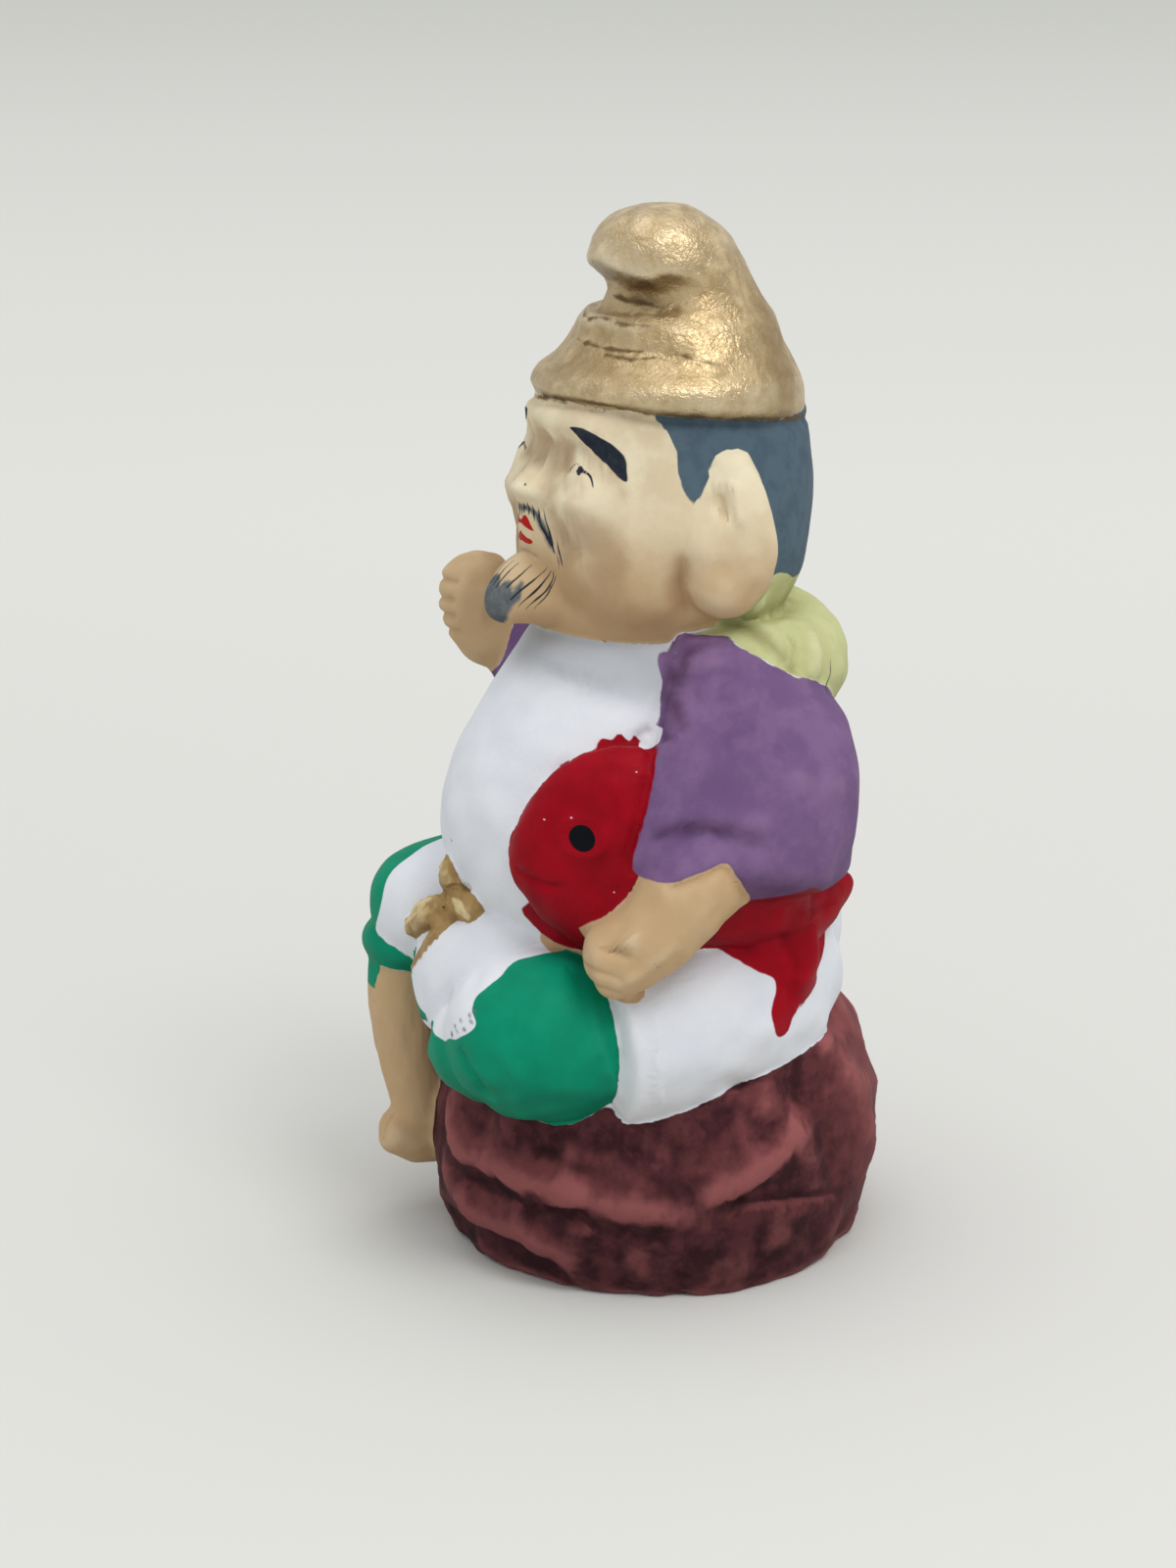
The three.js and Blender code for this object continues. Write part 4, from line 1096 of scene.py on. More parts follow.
@dataclass(frozen=True)
class Bow(Part):
    """The bow of the robe's cord at the foot of the belly: knot, two loops and a tail."""

    knot_at: Point = (1.0, -25.6, 45.8)
    knot_half: Point = (2.8, 2.0, 2.4)
    cords: Sequence[Sequence[Station]] = (
        ((0.6, -26.0, 46.6, 1.3, 1.1), (-1.6, -27.2, 48.6, 2.4, 1.3), (-3.0, -26.8, 51.0, 1.9, 1.0)),
        ((0.0, -26.6, 46.2, 1.3, 1.0), (-4.0, -29.0, 44.0, 1.9, 1.2), (-9.0, -29.8, 40.0, 1.3, 0.9)),
        ((-0.6, -27.0, 44.8, 1.0, 0.8), (-2.2, -29.8, 40.4, 0.9, 0.7), (-5.0, -30.9, 36.0, 0.7, 0.6)),
    )

    def forms(self) -> list[Form]:
        """Returns knot and cords."""
        return [
            Egg(Zone.BOW, self.knot_at, self.knot_half, around=32, rows=24),
            *(Limb(Zone.BOW, cord, flat=(0.2, 1.0, 0.2), around=24, rows=40) for cord in self.cords),
        ]

    def strokes(self) -> list[Stroke]:
        """Returns the creases between knot and loops."""
        face = View.FRONT
        return [
            Stroke([(-1.0, 47.6), (-1.2, 46.2), (-0.6, 44.6)], -0.35, 0.4, face, fade=0.1),
            Stroke([(-0.6, 47.6), (1.0, 48.4), (2.4, 48.2)], -0.35, 0.4, face, fade=0.1),
            Stroke([(-3.2, 45.4), (-5.6, 43.6), (-7.6, 41.8)], -0.25, 0.4, face),
            Stroke([(-1.8, 48.6), (-2.6, 50.0)], -0.3, 0.5, face, fade=0.1),
        ]

    def marks(self) -> list[Mark | Patch]:
        """Returns the middles of the loops and the knot: gilding rubbed bright there, painted lighter as a highlight.
        """
        face = View.FRONT
        return [
            Mark([(-3.0, 46.0), (-5.4, 44.2), (-8.0, 42.0), (-9.2, 40.6)], (0.3, 0.9, 0.8, 0.3), "worn_and_highlight", face),
            Mark([(0.6, 46.6), (2.0, 45.8), (2.8, 45.0)], (0.4, 0.9, 0.4), "worn_and_highlight", face),
            Mark([(-1.6, 49.4), (-2.8, 51.0)], (0.3, 0.7, 0.3), "worn_and_highlight", face),
        ]


class Skin:
    """The fused surface of the doll as arrays of points, edges and triangles."""

    def __init__(self, mesh: bpy.types.Mesh) -> None:
        """Reads a mesh."""
        self.mesh = mesh
        count = len(mesh.vertices)
        points = np.empty(count * 3)
        mesh.vertices.foreach_get("co", points)
        self.points: Array = points.reshape(-1, 3)
        edges = np.empty(len(mesh.edges) * 2, dtype=np.int32)
        mesh.edges.foreach_get("vertices", edges)
        self.edges = edges.reshape(-1, 2)
        mesh.calc_loop_triangles()
        triangles = np.empty(len(mesh.loop_triangles) * 3, dtype=np.int32)
        mesh.loop_triangles.foreach_get("vertices", triangles)
        self.triangles = triangles.reshape(-1, 3)
        self.degree = np.maximum(np.bincount(self.edges.ravel(), minlength=count), 1)

    def around(self, values: Array) -> Array:
        """Returns the mean of each point's neighbours' values."""
        count = len(self.degree)
        a, b = self.edges.T
        flat = values if values.ndim > 1 else values[:, None]
        sums = np.stack([np.bincount(a, flat[b, k], count) + np.bincount(b, flat[a, k], count)
                         for k in range(flat.shape[1])], 1)
        mean = sums / self.degree[:, None]
        return mean if values.ndim > 1 else mean[:, 0]

    def smooth(self, values: Array, rounds: int, share: float | Array = 0.5) -> Array:
        """Evens values out over the surface.

        Args:
            values: One number or one row for each point.
            rounds: How many times they are evened.
            share: How far each round moves them towards their neighbours' mean.

        Returns:
            The evened values.
        """
        for _ in range(rounds):
            values = values + (self.around(values) - values) * share
        return values

    def normals(self, points: Array) -> Array:
        """Returns the outward direction at each point."""
        a, b, c = (points[self.triangles[:, k]] for k in range(3))
        face = np.cross(b - a, c - a)
        count = len(points)
        total = np.stack([sum(np.bincount(self.triangles[:, k], face[:, axis], count) for k in range(3))
                          for axis in range(3)], 1)
        return unit(total)

    def tree(self) -> BVHTree:
        """Returns the surface's search tree."""
        return BVHTree.FromPolygons(self.points.tolist(), self.triangles.tolist())

    def write(self, points: Array) -> None:
        """Writes points back to the mesh."""
        self.mesh.vertices.foreach_set("co", points.ravel())
        self.mesh.update()


@dataclass(frozen=True)
class Line:
    """A line laid on the surface, as points in space."""

    points: Array

    def length(self) -> float:
        """Returns the line's length."""
        return float(np.linalg.norm(np.diff(self.points, axis=0), axis=1).sum())

    def reach(self, points: Array, limit: float) -> tuple[Array, Array, Array, Array]:
        """Finds the points near the line.

        Args:
            points: The surface's points.
            limit: The longest distance that counts.

        Returns:
            The near points' numbers, their distances, how far along the line they lie from 0 to 1, and the
            steps from the line to them.
        """
        low, high = self.points.min(0) - limit, self.points.max(0) + limit
        near = np.flatnonzero(((points > low) & (points < high)).all(1))
        p = points[near]
        best = np.full(len(near), np.inf)
        where = np.zeros(len(near))
        step = np.zeros_like(p)
        starts = self.points[:-1] if len(self.points) > 1 else self.points
        ends = self.points[1:] if len(self.points) > 1 else self.points
        lengths = np.linalg.norm(ends - starts, axis=1)
        total = max(float(lengths.sum()), 1e-9)
        so_far = 0.0
        for a, b, length in zip(starts, ends, lengths):
            way = b - a
            t = np.clip((p - a) @ way / max(float(way @ way), 1e-12), 0.0, 1.0)
            gap = p - (a + t[:, None] * way)
            d = np.einsum("ij,ij->i", gap, gap)
            closer = d < best
            best[closer] = d[closer]
            step[closer] = gap[closer]
            where[closer] = ((so_far + t * length) / total)[closer]
            so_far += float(length)
        distance = np.sqrt(best)
        keep = distance < limit
        return near[keep], distance[keep], where[keep], step[keep]


class Modeller:
    """Lays lines on a skin, pushes the clay along them and marks where paint goes."""

    FINE = 10
    LEAN = -0.25
    SOFTEST = 2.8

    def __init__(self, skin: Skin) -> None:
        """Keeps the skin and its search tree."""
        self.skin = skin
        self.tree = skin.tree()
        self.normals = skin.normals(skin.points)

    def lay(self, path: Sequence[Spot], view: View, mirrored: bool) -> Line:
        """Lays a line on the surface.

        Args:
            path: Its points in the view.
            view: From where it is laid.
            mirrored: Whether it goes on the other side of the doll.

        Returns:
            The line in space.
        """
        spots = np.asarray(path, float)
        if len(spots) > 1:
            curve = Path(np.column_stack([spots, np.zeros(len(spots))]))
            spots = curve.at(np.linspace(0.0, 1.0, self.FINE * (len(spots) - 1) + 1))[:, :2]
        starts, ways = view.aim(spots, mirrored)
        hits = [self.tree.ray_cast(Vector(start), Vector(way))[0] for start, way in zip(starts, ways)]
        found = [np.array(hit) for hit in hits if hit is not None]
        if not found:
            raise ValueError(f"a line misses the surface: {path}")
        return Line(np.array(found))

    def push(self, strokes: Sequence[Stroke]) -> Array:
        """Adds up how far strokes push each point outwards."""
        total = np.zeros(len(self.skin.points))
        for stroke in strokes:
            for mirrored in (False, True)[: 1 + stroke.both]:
                line = self.lay(stroke.path, stroke.side, mirrored)
                near, distance, where, _ = line.reach(self.skin.points, stroke.size * 2.6)
                amount = stroke.height * np.exp(-(distance / stroke.size) ** 2)
                if len(stroke.path) > 1 and stroke.fade > 0:
                    ends = np.minimum(where, 1 - where) / stroke.fade
                    amount *= np.clip(ends, 0.0, 1.0) ** 0.7
                total[near] += amount
        return total

    def lines(self, marks: Sequence[Mark | Patch]) -> list[Line]:
        """Lays the middle lines of marks and the outlines of crisp patches on the surface."""
        return [self.lay([*mark.path, mark.path[0]] if isinstance(mark, Patch) else mark.path, mark.side, mirrored)
                for mark in marks if isinstance(mark, Mark) or mark.crisp
                for mirrored in (False, True)[: 1 + mark.both]]

    def paint(self, marks: Sequence[Mark | Patch], fields: dict[str, Array]) -> None:
        """Adds how deep inside each painted mark and patch the points lie to the fields.

        Args:
            marks: The marks and patches.
            fields: One array for each paint, in millimetres, above 0 where it lies, changed in place.
        """
        for mark in marks:
            values = fields[mark.paint]
            for mirrored in (False, True)[: 1 + mark.both]:
                if isinstance(mark, Patch):
                    near, depth = self.fill(mark, mirrored)
                    depth = depth + mark.spread
                else:
                    line = self.lay(mark.path, mark.side, mirrored)
                    near, distance, where, _ = line.reach(self.skin.points, max(mark.widths) + self.SOFTEST)
                    depth = along(np.asarray(mark.widths, float), where) - distance
                away = isinstance(mark, Patch) and mark.away
                values[near] = np.minimum(values[near], -depth) if away else np.maximum(values[near], depth)

    def fill(self, patch: Patch, mirrored: bool) -> tuple[Array, Array]:
        """Finds the points in or near a patch and how deep inside it they lie."""
        spots, facing = patch.side.flat(self.skin.points, self.normals, mirrored)
        outline = rounded(patch.path)
        low, high = outline.min(0) - 1.0, outline.max(0) + 1.0
        near = np.flatnonzero(((spots > low) & (spots < high)).all(1) & (facing > self.LEAN))
        return near, depth_inside(outline, spots[near])


class Sculptor:
    """Fuses the forms into one skin, sculpts it and works out where each paint goes."""

    VOXEL = 0.42
    FACES = 84_000
    FILLET_ROUNDS = 5
    USUAL_EDGE = 0.9
    MOST_EXTRA = 1.4
    NEAR = 4.0

    def __init__(self, parts: Sequence[Part]) -> None:
        """Keeps the sub-assemblies."""
        self.parts = parts
        self.trees: dict[Zone, list[BVHTree]] = {}
        self.boxes: dict[Zone, list[tuple[Array, Array]]] = {}

    def fuse(self) -> bpy.types.Object:
        """Adds all forms, cuts the cap's hollow and fuses everything into one closed skin."""
        pieces = []
        for part in self.parts:
            for form in part.forms():
                piece = form.add()
                if isinstance(part, Cap):
                    self.carve(piece, part.cut())
                self.remember(form.zone, piece)
                pieces.append(piece)
        bpy.ops.object.select_all(action="DESELECT")
        for piece in pieces:
            piece.select_set(True)
        bpy.context.view_layer.objects.active = pieces[0]
        bpy.ops.object.join()
        doll = bpy.context.object
        self.apply(doll, "REMESH", mode="VOXEL", voxel_size=self.VOXEL)
        return doll

    def carve(self, piece: bpy.types.Object, cut: Form) -> None:
        """Cuts a form out of a piece."""
        tool = cut.add()
        bpy.context.view_layer.objects.active = piece
        self.apply(piece, "BOOLEAN", operation="DIFFERENCE", object=tool, solver="EXACT")
        bpy.data.objects.remove(tool)

    def apply(self, piece: bpy.types.Object, kind: str, **settings: object) -> None:
        """Adds a modifier with its settings and applies it."""
        bpy.context.view_layer.objects.active = piece
        modifier = piece.modifiers.new(kind.lower(), kind)
        for name, value in settings.items():
            setattr(modifier, name, value)
        bpy.ops.object.modifier_apply(modifier=modifier.name)

    def remember(self, zone: Zone, piece: bpy.types.Object) -> None:
        """Keeps a form's surface to tell later which zone a point belongs to."""
        skin = Skin(piece.data)
        self.trees.setdefault(zone, []).append(skin.tree())
        self.boxes.setdefault(zone, []).append((skin.points.min(0), skin.points.max(0)))

    def gaps(self, points: Array) -> dict[Zone, Array]:
        """Returns each point's distance to each zone's forms, at most the reach that counts."""
        result = {}
        for zone, trees in self.trees.items():
            gap = np.full(len(points), self.NEAR)
            for tree, (low, high) in zip(trees, self.boxes[zone]):
                near = np.flatnonzero(((points > low - self.NEAR) & (points < high + self.NEAR)).all(1))
                for i in near.tolist():
                    found = tree.find_nearest(points[i], self.NEAR)
                    if found[3] is not None and found[3] < gap[i]:
                        gap[i] = found[3]
            result[zone] = gap
        return result

    def soften(self, doll: bpy.types.Object) -> None:
        """Rounds the joints between forms and thins the skin to its final number of faces."""
        skin = Skin(doll.data)
        skin.write(skin.smooth(skin.points, self.FILLET_ROUNDS))
        self.apply(doll, "DECIMATE", ratio=self.FACES / len(skin.triangles), use_collapse_triangulate=True)

    def refine(self, doll: bpy.types.Object, lines: Sequence[Line], reach: float) -> None:
        """Splits the faces near lines into four.

        Args:
            doll: The skin's object.
            lines: The lines.
            reach: How far from a line a face's middle may lie, and more where the face is long.
        """
        skin = Skin(doll.data)
        corners = skin.points[skin.triangles]
        middles = corners.mean(1)
        longest = np.linalg.norm(corners - np.roll(corners, 1, axis=1), axis=2).max(1)
        extra = np.clip(longest - self.USUAL_EDGE, 0.0, self.MOST_EXTRA)
        chosen = np.zeros(len(middles), dtype=bool)
        for line in lines:
            near, distance, _, _ = line.reach(middles, reach + self.MOST_EXTRA)
            chosen[near[distance < reach + extra[near]]] = True
        bpy.context.view_layer.objects.active = doll
        bpy.ops.object.mode_set(mode="EDIT")
        bpy.ops.mesh.select_mode(type="FACE")
        bpy.ops.mesh.select_all(action="DESELECT")
        bpy.ops.object.mode_set(mode="OBJECT")
        doll.data.polygons.foreach_set("select", chosen)
        bpy.ops.object.mode_set(mode="EDIT")
        bpy.ops.mesh.subdivide(number_cuts=1)
        bpy.ops.mesh.select_all(action="SELECT")
        bpy.ops.mesh.quads_convert_to_tris()
        bpy.ops.object.mode_set(mode="OBJECT")

    def crumple(self, gaps: dict[Zone, Array], points: Array) -> Array:
        """Returns how far the unevenness of each zone's clay pushes the points."""
        broad = {Zone.ROCK: (0.3, 6.0), Zone.CAP: (0.06, 4.0), Zone.ROBE: (0.1, 6.0), Zone.COAT: (0.12, 5.0),
                 Zone.COLLAR: (0.1, 4.0), Zone.HEAD: (0.05, 5.0), Zone.TROUSER: (0.12, 4.0), Zone.FISH: (0.08, 3.0),
                 Zone.HAND: (0.08, 3.0), Zone.LEG: (0.08, 3.0), Zone.BOW: (0.1, 1.6), Zone.EAR: (0.07, 3.0)}
        fine = {Zone.ROCK: (0.08, 2.0), Zone.CAP: (0.02, 1.7), Zone.BOW: (0.05, 0.9)}
        nearest = np.minimum.reduce(list(gaps.values()))
        total = np.zeros(len(points))
        for seed, table in enumerate((broad, fine)):
            for number, (zone, (height, size)) in enumerate(table.items()):
                share = np.clip(1 - (gaps[zone] - nearest) / 0.8, 0.0, 1.0)
                total += share * height * Unevenness(size, 100 * seed + number).at(points)
        return total


def linear(red: int, green: int, blue: int) -> Colour:
    """Turns a colour given as 0 to 255 on a screen into light."""
    return tuple(((v / 255 + 0.055) / 1.055) ** 2.4 if v > 10 else v / 255 / 12.92 for v in (red, green, blue))


class Value:
    """One output of the material's nodes, with arithmetic that adds Math nodes."""

    def __init__(self, graph: "Graph", socket: bpy.types.NodeSocket) -> None:
        """Keeps the graph and the socket."""
        self.graph = graph
        self.socket = socket

    def _math(self, operation: str, *values: "Value | float") -> "Value":
        """Adds a Math node on values."""
        return self.graph.add("ShaderNodeMath", {"operation": operation}, dict(enumerate(values)))

    def __add__(self, other: "Value | float") -> "Value":
        """Returns self + other."""
        return self._math("ADD", self, other)

    def __radd__(self, other: float) -> "Value":
        """Returns other + self."""
        return self._math("ADD", other, self)

    def __sub__(self, other: "Value | float") -> "Value":
        """Returns self - other."""
        return self._math("SUBTRACT", self, other)

    def __rsub__(self, other: float) -> "Value":
        """Returns other - self."""
        return self._math("SUBTRACT", other, self)

    def __mul__(self, other: "Value | float") -> "Value":
        """Returns self * other."""
        return self._math("MULTIPLY", self, other)

    def __rmul__(self, other: float) -> "Value":
        """Returns other * self."""
        return self._math("MULTIPLY", other, self)

    def __truediv__(self, other: "Value | float") -> "Value":
        """Returns self / other."""
        return self._math("DIVIDE", self, other)

    def __neg__(self) -> "Value":
        """Returns -self."""
        return self._math("MULTIPLY", self, -1.0)

    def least(self, other: "Value | float") -> "Value":
        """Returns the smaller of two values."""
        return self._math("MINIMUM", self, other)

    def most(self, other: "Value | float") -> "Value":
        """Returns the larger of two values."""
        return self._math("MAXIMUM", self, other)

    def size(self) -> "Value":
        """Returns the value without its sign."""
        return self._math("ABSOLUTE", self)

    def ramp(self, low: float, high: float) -> "Value":
        """Returns 0 below low and 1 above high, smooth between; high may be the lower one."""
        settings = {"interpolation_type": "SMOOTHSTEP"}
        if low > high:
            return 1.0 - self.graph.add("ShaderNodeMapRange", settings,
                                        {"Value": self, "From Min": high, "From Max": low})
        return self.graph.add("ShaderNodeMapRange", settings, {"Value": self, "From Min": low, "From Max": high})


class Graph:
    """A material's node tree, with one method that adds any node."""

    def __init__(self, name: str) -> None:
        """Makes an empty material."""
        self.material = bpy.data.materials.new(name)
        self.material.use_nodes = True
        self.tree = self.material.node_tree
        self.tree.nodes.clear()
        self.place = self.output("ShaderNodeTexCoord", {}, {}, "Object")

    def output(self, kind: str, settings: dict[str, object], values: dict[object, object],
               name: str | int = 0) -> Value:
        """Adds a node and returns one of its outputs.

        Args:
            kind: The node's type.
            settings: Its properties, set first.
            values: Its sockets' values or links, by name or number.
            name: The output's name or number.

        Returns:
            That output.
        """
        node = self.tree.nodes.new(kind)
        for key, value in settings.items():
            setattr(node, key, value)
        for key, value in values.items():
            if isinstance(value, Value):
                self.tree.links.new(value.socket, node.inputs[key])
            else:
                node.inputs[key].default_value = value
        return Value(self, node.outputs[name])

    def add(self, kind: str, settings: dict[str, object], values: dict[object, object]) -> Value:
        """Adds a node and returns its first output."""
        return self.output(kind, settings, values)

    def close(self, shader: Value) -> None:
        """Links the shader to the material's output."""
        node = self.tree.nodes.new("ShaderNodeOutputMaterial")
        self.tree.links.new(shader.socket, node.inputs["Surface"])

    def mix(self, share: Value | float, a: "Value | Colour", b: "Value | Colour") -> Value:
        """Mixes two colours, b where share is 1."""
        a, b = (v if isinstance(v, Value) else (*v, 1.0) for v in (a, b))
        return self.output("ShaderNodeMix", {"data_type": "RGBA", "clamp_factor": True}, {0: share, 6: a, 7: b}, 2)

    def blend(self, share: Value | float, a: Value | float, b: Value | float) -> Value:
        """Mixes two numbers, b where share is 1."""
        return self.output("ShaderNodeMix", {"data_type": "FLOAT", "clamp_factor": True}, {0: share, 2: a, 3: b}, 0)

    def noise(self, size: float, detail: float = 2.0, rough: float = 0.5, seed: float = 0.0,
              stretch: Point = (1.0, 1.0, 1.0), distortion: float = 0.0) -> Value:
        """Returns noise whose spots are about size millimetres across, about 0.5 on the mean."""
        place = self.add("ShaderNodeMapping", {"vector_type": "POINT"},
                         {"Vector": self.place, "Location": (seed, seed * 0.7, seed * 1.3), "Scale": stretch})
        return self.add("ShaderNodeTexNoise", {"noise_dimensions": "3D"},
                        {"Vector": place, "Scale": 1.0 / (size * MM), "Detail": detail, "Roughness": rough,
                         "Distortion": distortion})

    def field(self, name: str) -> Value:
        """Returns a number painted on the skin's points."""
        return self.output("ShaderNodeAttribute", {"attribute_type": "GEOMETRY", "attribute_name": name}, {}, "Fac")


@dataclass(frozen=True)
class Finish:
    """One paint: where it lies, its colours and its sheen."""

    name: str
    colour: Colour
    patch: Colour
    # Dirt and painted shade: the colour laid in hollows and on surfaces that face down.
    grime_and_shade: Colour
    rubbed: Colour
    patch_size: float = 6.0
    rough: float = 0.7
    edge: float = 0.1
    wobble: float = 0.3
    patchiness: float = 0.5
    # How strongly that dirt and painted shade is laid.
    grime_and_shade_share: float = 0.7
    wear: float = 0.3
    strength: float = 1.0
    on: str = ""


class Paint(Enum):
    """The paints that cover whole zones, in the order in which they are laid."""

    ROBE = Finish("robe", linear(227, 230, 236), linear(216, 221, 230), linear(180, 176, 166), linear(238, 238, 236),
                  patch_size=8.0, rough=0.74, wear=0.2, grime_and_shade_share=0.5)
    SHADE = Finish("shade", linear(180, 184, 190), linear(186, 190, 196), linear(160, 160, 160), linear(204, 208, 212),
                   edge=2.6, patch_size=6.0, rough=0.74, wear=0.1, grime_and_shade_share=0.4)
    SKIN = Finish("skin", linear(234, 223, 192), linear(188, 153, 110), linear(150, 108, 70), linear(236, 226, 200),
                  patch_size=8.0, rough=0.6, patchiness=0.35, grime_and_shade_share=0.4)
    # Brown tint and painted shade laid over the skin round eyes, nose, mouth and jaw.
    TAN = Finish("tint_and_shade", linear(150, 116, 80), linear(164, 130, 92), linear(126, 90, 58), linear(190, 158, 120),
                 edge=1.5, wobble=1.2, patch_size=4.0, rough=0.6, strength=0.5, on="skin")
    HAIR = Finish("hair", linear(84, 103, 116), linear(66, 84, 98), linear(44, 54, 62), linear(132, 140, 138),
                  patch_size=2.4, rough=0.7)
    COLLAR = Finish("collar", linear(199, 202, 148), linear(184, 182, 128), linear(108, 98, 48),
                    linear(222, 222, 184), patch_size=6.0, grime_and_shade_share=0.8)
    # Painted shade on the collar.
    COLLAR_SHADE = Finish("collar_shade", linear(112, 102, 54), linear(132, 124, 72), linear(90, 80, 40), linear(150, 146, 96),
                  edge=1.2, wobble=0.9, patch_size=2.4, strength=0.6, on="collar")
    COAT = Finish("coat", linear(112, 85, 127), linear(136, 106, 146), linear(60, 36, 54), linear(164, 128, 160),
                  patch_size=6.0, wear=0.4, patchiness=0.6, grime_and_shade_share=0.85)
    # Painted shade on the coat.
    COAT_SHADE = Finish("coat_shade", linear(58, 34, 54), linear(76, 48, 74), linear(44, 26, 38), linear(104, 74, 100),
                  edge=1.2, wobble=1.0, patch_size=2.4, strength=0.6, on="coat")
    TROUSER = Finish("trouser", linear(0, 142, 108), linear(0, 126, 94), linear(8, 72, 56), linear(60, 160, 126),
                     patch_size=6.0, rough=0.6, wear=0.15)
    FISH = Finish("fish", linear(156, 0, 24), linear(124, 0, 14), linear(64, 0, 10), linear(180, 20, 44),
                  patch_size=6.0, rough=0.55, wear=0.2)
    BOW = Finish("bow", linear(168, 138, 90), linear(128, 98, 60), linear(76, 54, 34), linear(222, 204, 160),
                 patch_size=2.4, rough=0.5, wear=0.9)
    # The rock's lighter colour also serves as the painted light on its top.
    ROCK = Finish("rock", linear(56, 26, 32), linear(136, 74, 76), linear(34, 17, 22), linear(168, 98, 98),
                  patch_size=4.0, rough=0.7, wear=0.9, patchiness=0.4, grime_and_shade_share=0.75)
    CAP = Finish("cap", linear(200, 177, 136), linear(160, 134, 92), linear(88, 66, 40), linear(242, 230, 202),
                 patch_size=2.4, rough=0.34, wear=0.7, grime_and_shade_share=0.95)
    # Soot and painted shade on the cap.
    SMOKE = Finish("cap_shade_and_soot", linear(104, 80, 48), linear(128, 102, 66), linear(74, 54, 32), linear(176, 150, 108),
                   edge=1.8, wobble=2.4, patch_size=1.0, rough=0.5, strength=0.5, on="cap")


class Detail(Enum):
    """The paints of single brush strokes and the chips, in the order in which they are laid."""

    WASH = Finish("wash", linear(84, 92, 98), linear(122, 126, 124), linear(54, 60, 64), linear(130, 134, 130),
                  edge=0.35, wobble=0.9, patch_size=1.0)
    INK = Finish("ink", linear(34, 40, 52), linear(58, 62, 70), linear(24, 28, 36), linear(90, 90, 90),
                 patch_size=1.0, edge=0.07, wobble=0.14, rough=0.55, patchiness=0.4)
    LIP = Finish("lip", linear(176, 22, 22), linear(150, 14, 20), linear(110, 10, 14), linear(200, 70, 60),
                 edge=0.06, wobble=0.1, rough=0.5)
    EYE = Finish("eye", linear(6, 8, 16), linear(10, 12, 20), linear(4, 5, 10), linear(20, 22, 30),
                 edge=0.05, wobble=0.05, rough=0.35)
    SOOT = Finish("soot", linear(104, 84, 56), linear(126, 102, 70), linear(86, 68, 46), linear(140, 116, 80),
                  edge=0.3, wobble=1.4, patch_size=1.0)
    # Rubbed gilding and painted highlight along the middles of the bow's loops.
    WORN_AND_HIGHLIGHT = Finish("worn_and_highlight", linear(218, 198, 152), linear(190, 164, 114), linear(130, 100, 64), linear(230, 214, 176),
                  edge=0.25, wobble=0.9, patch_size=1.0, rough=0.45)
    CHIP = Finish("chip", linear(226, 222, 212), linear(206, 200, 188), linear(180, 170, 156), linear(236, 234, 228),
                  edge=0.05, wobble=0.25, patch_size=2.4, grime_and_shade_share=0.2)


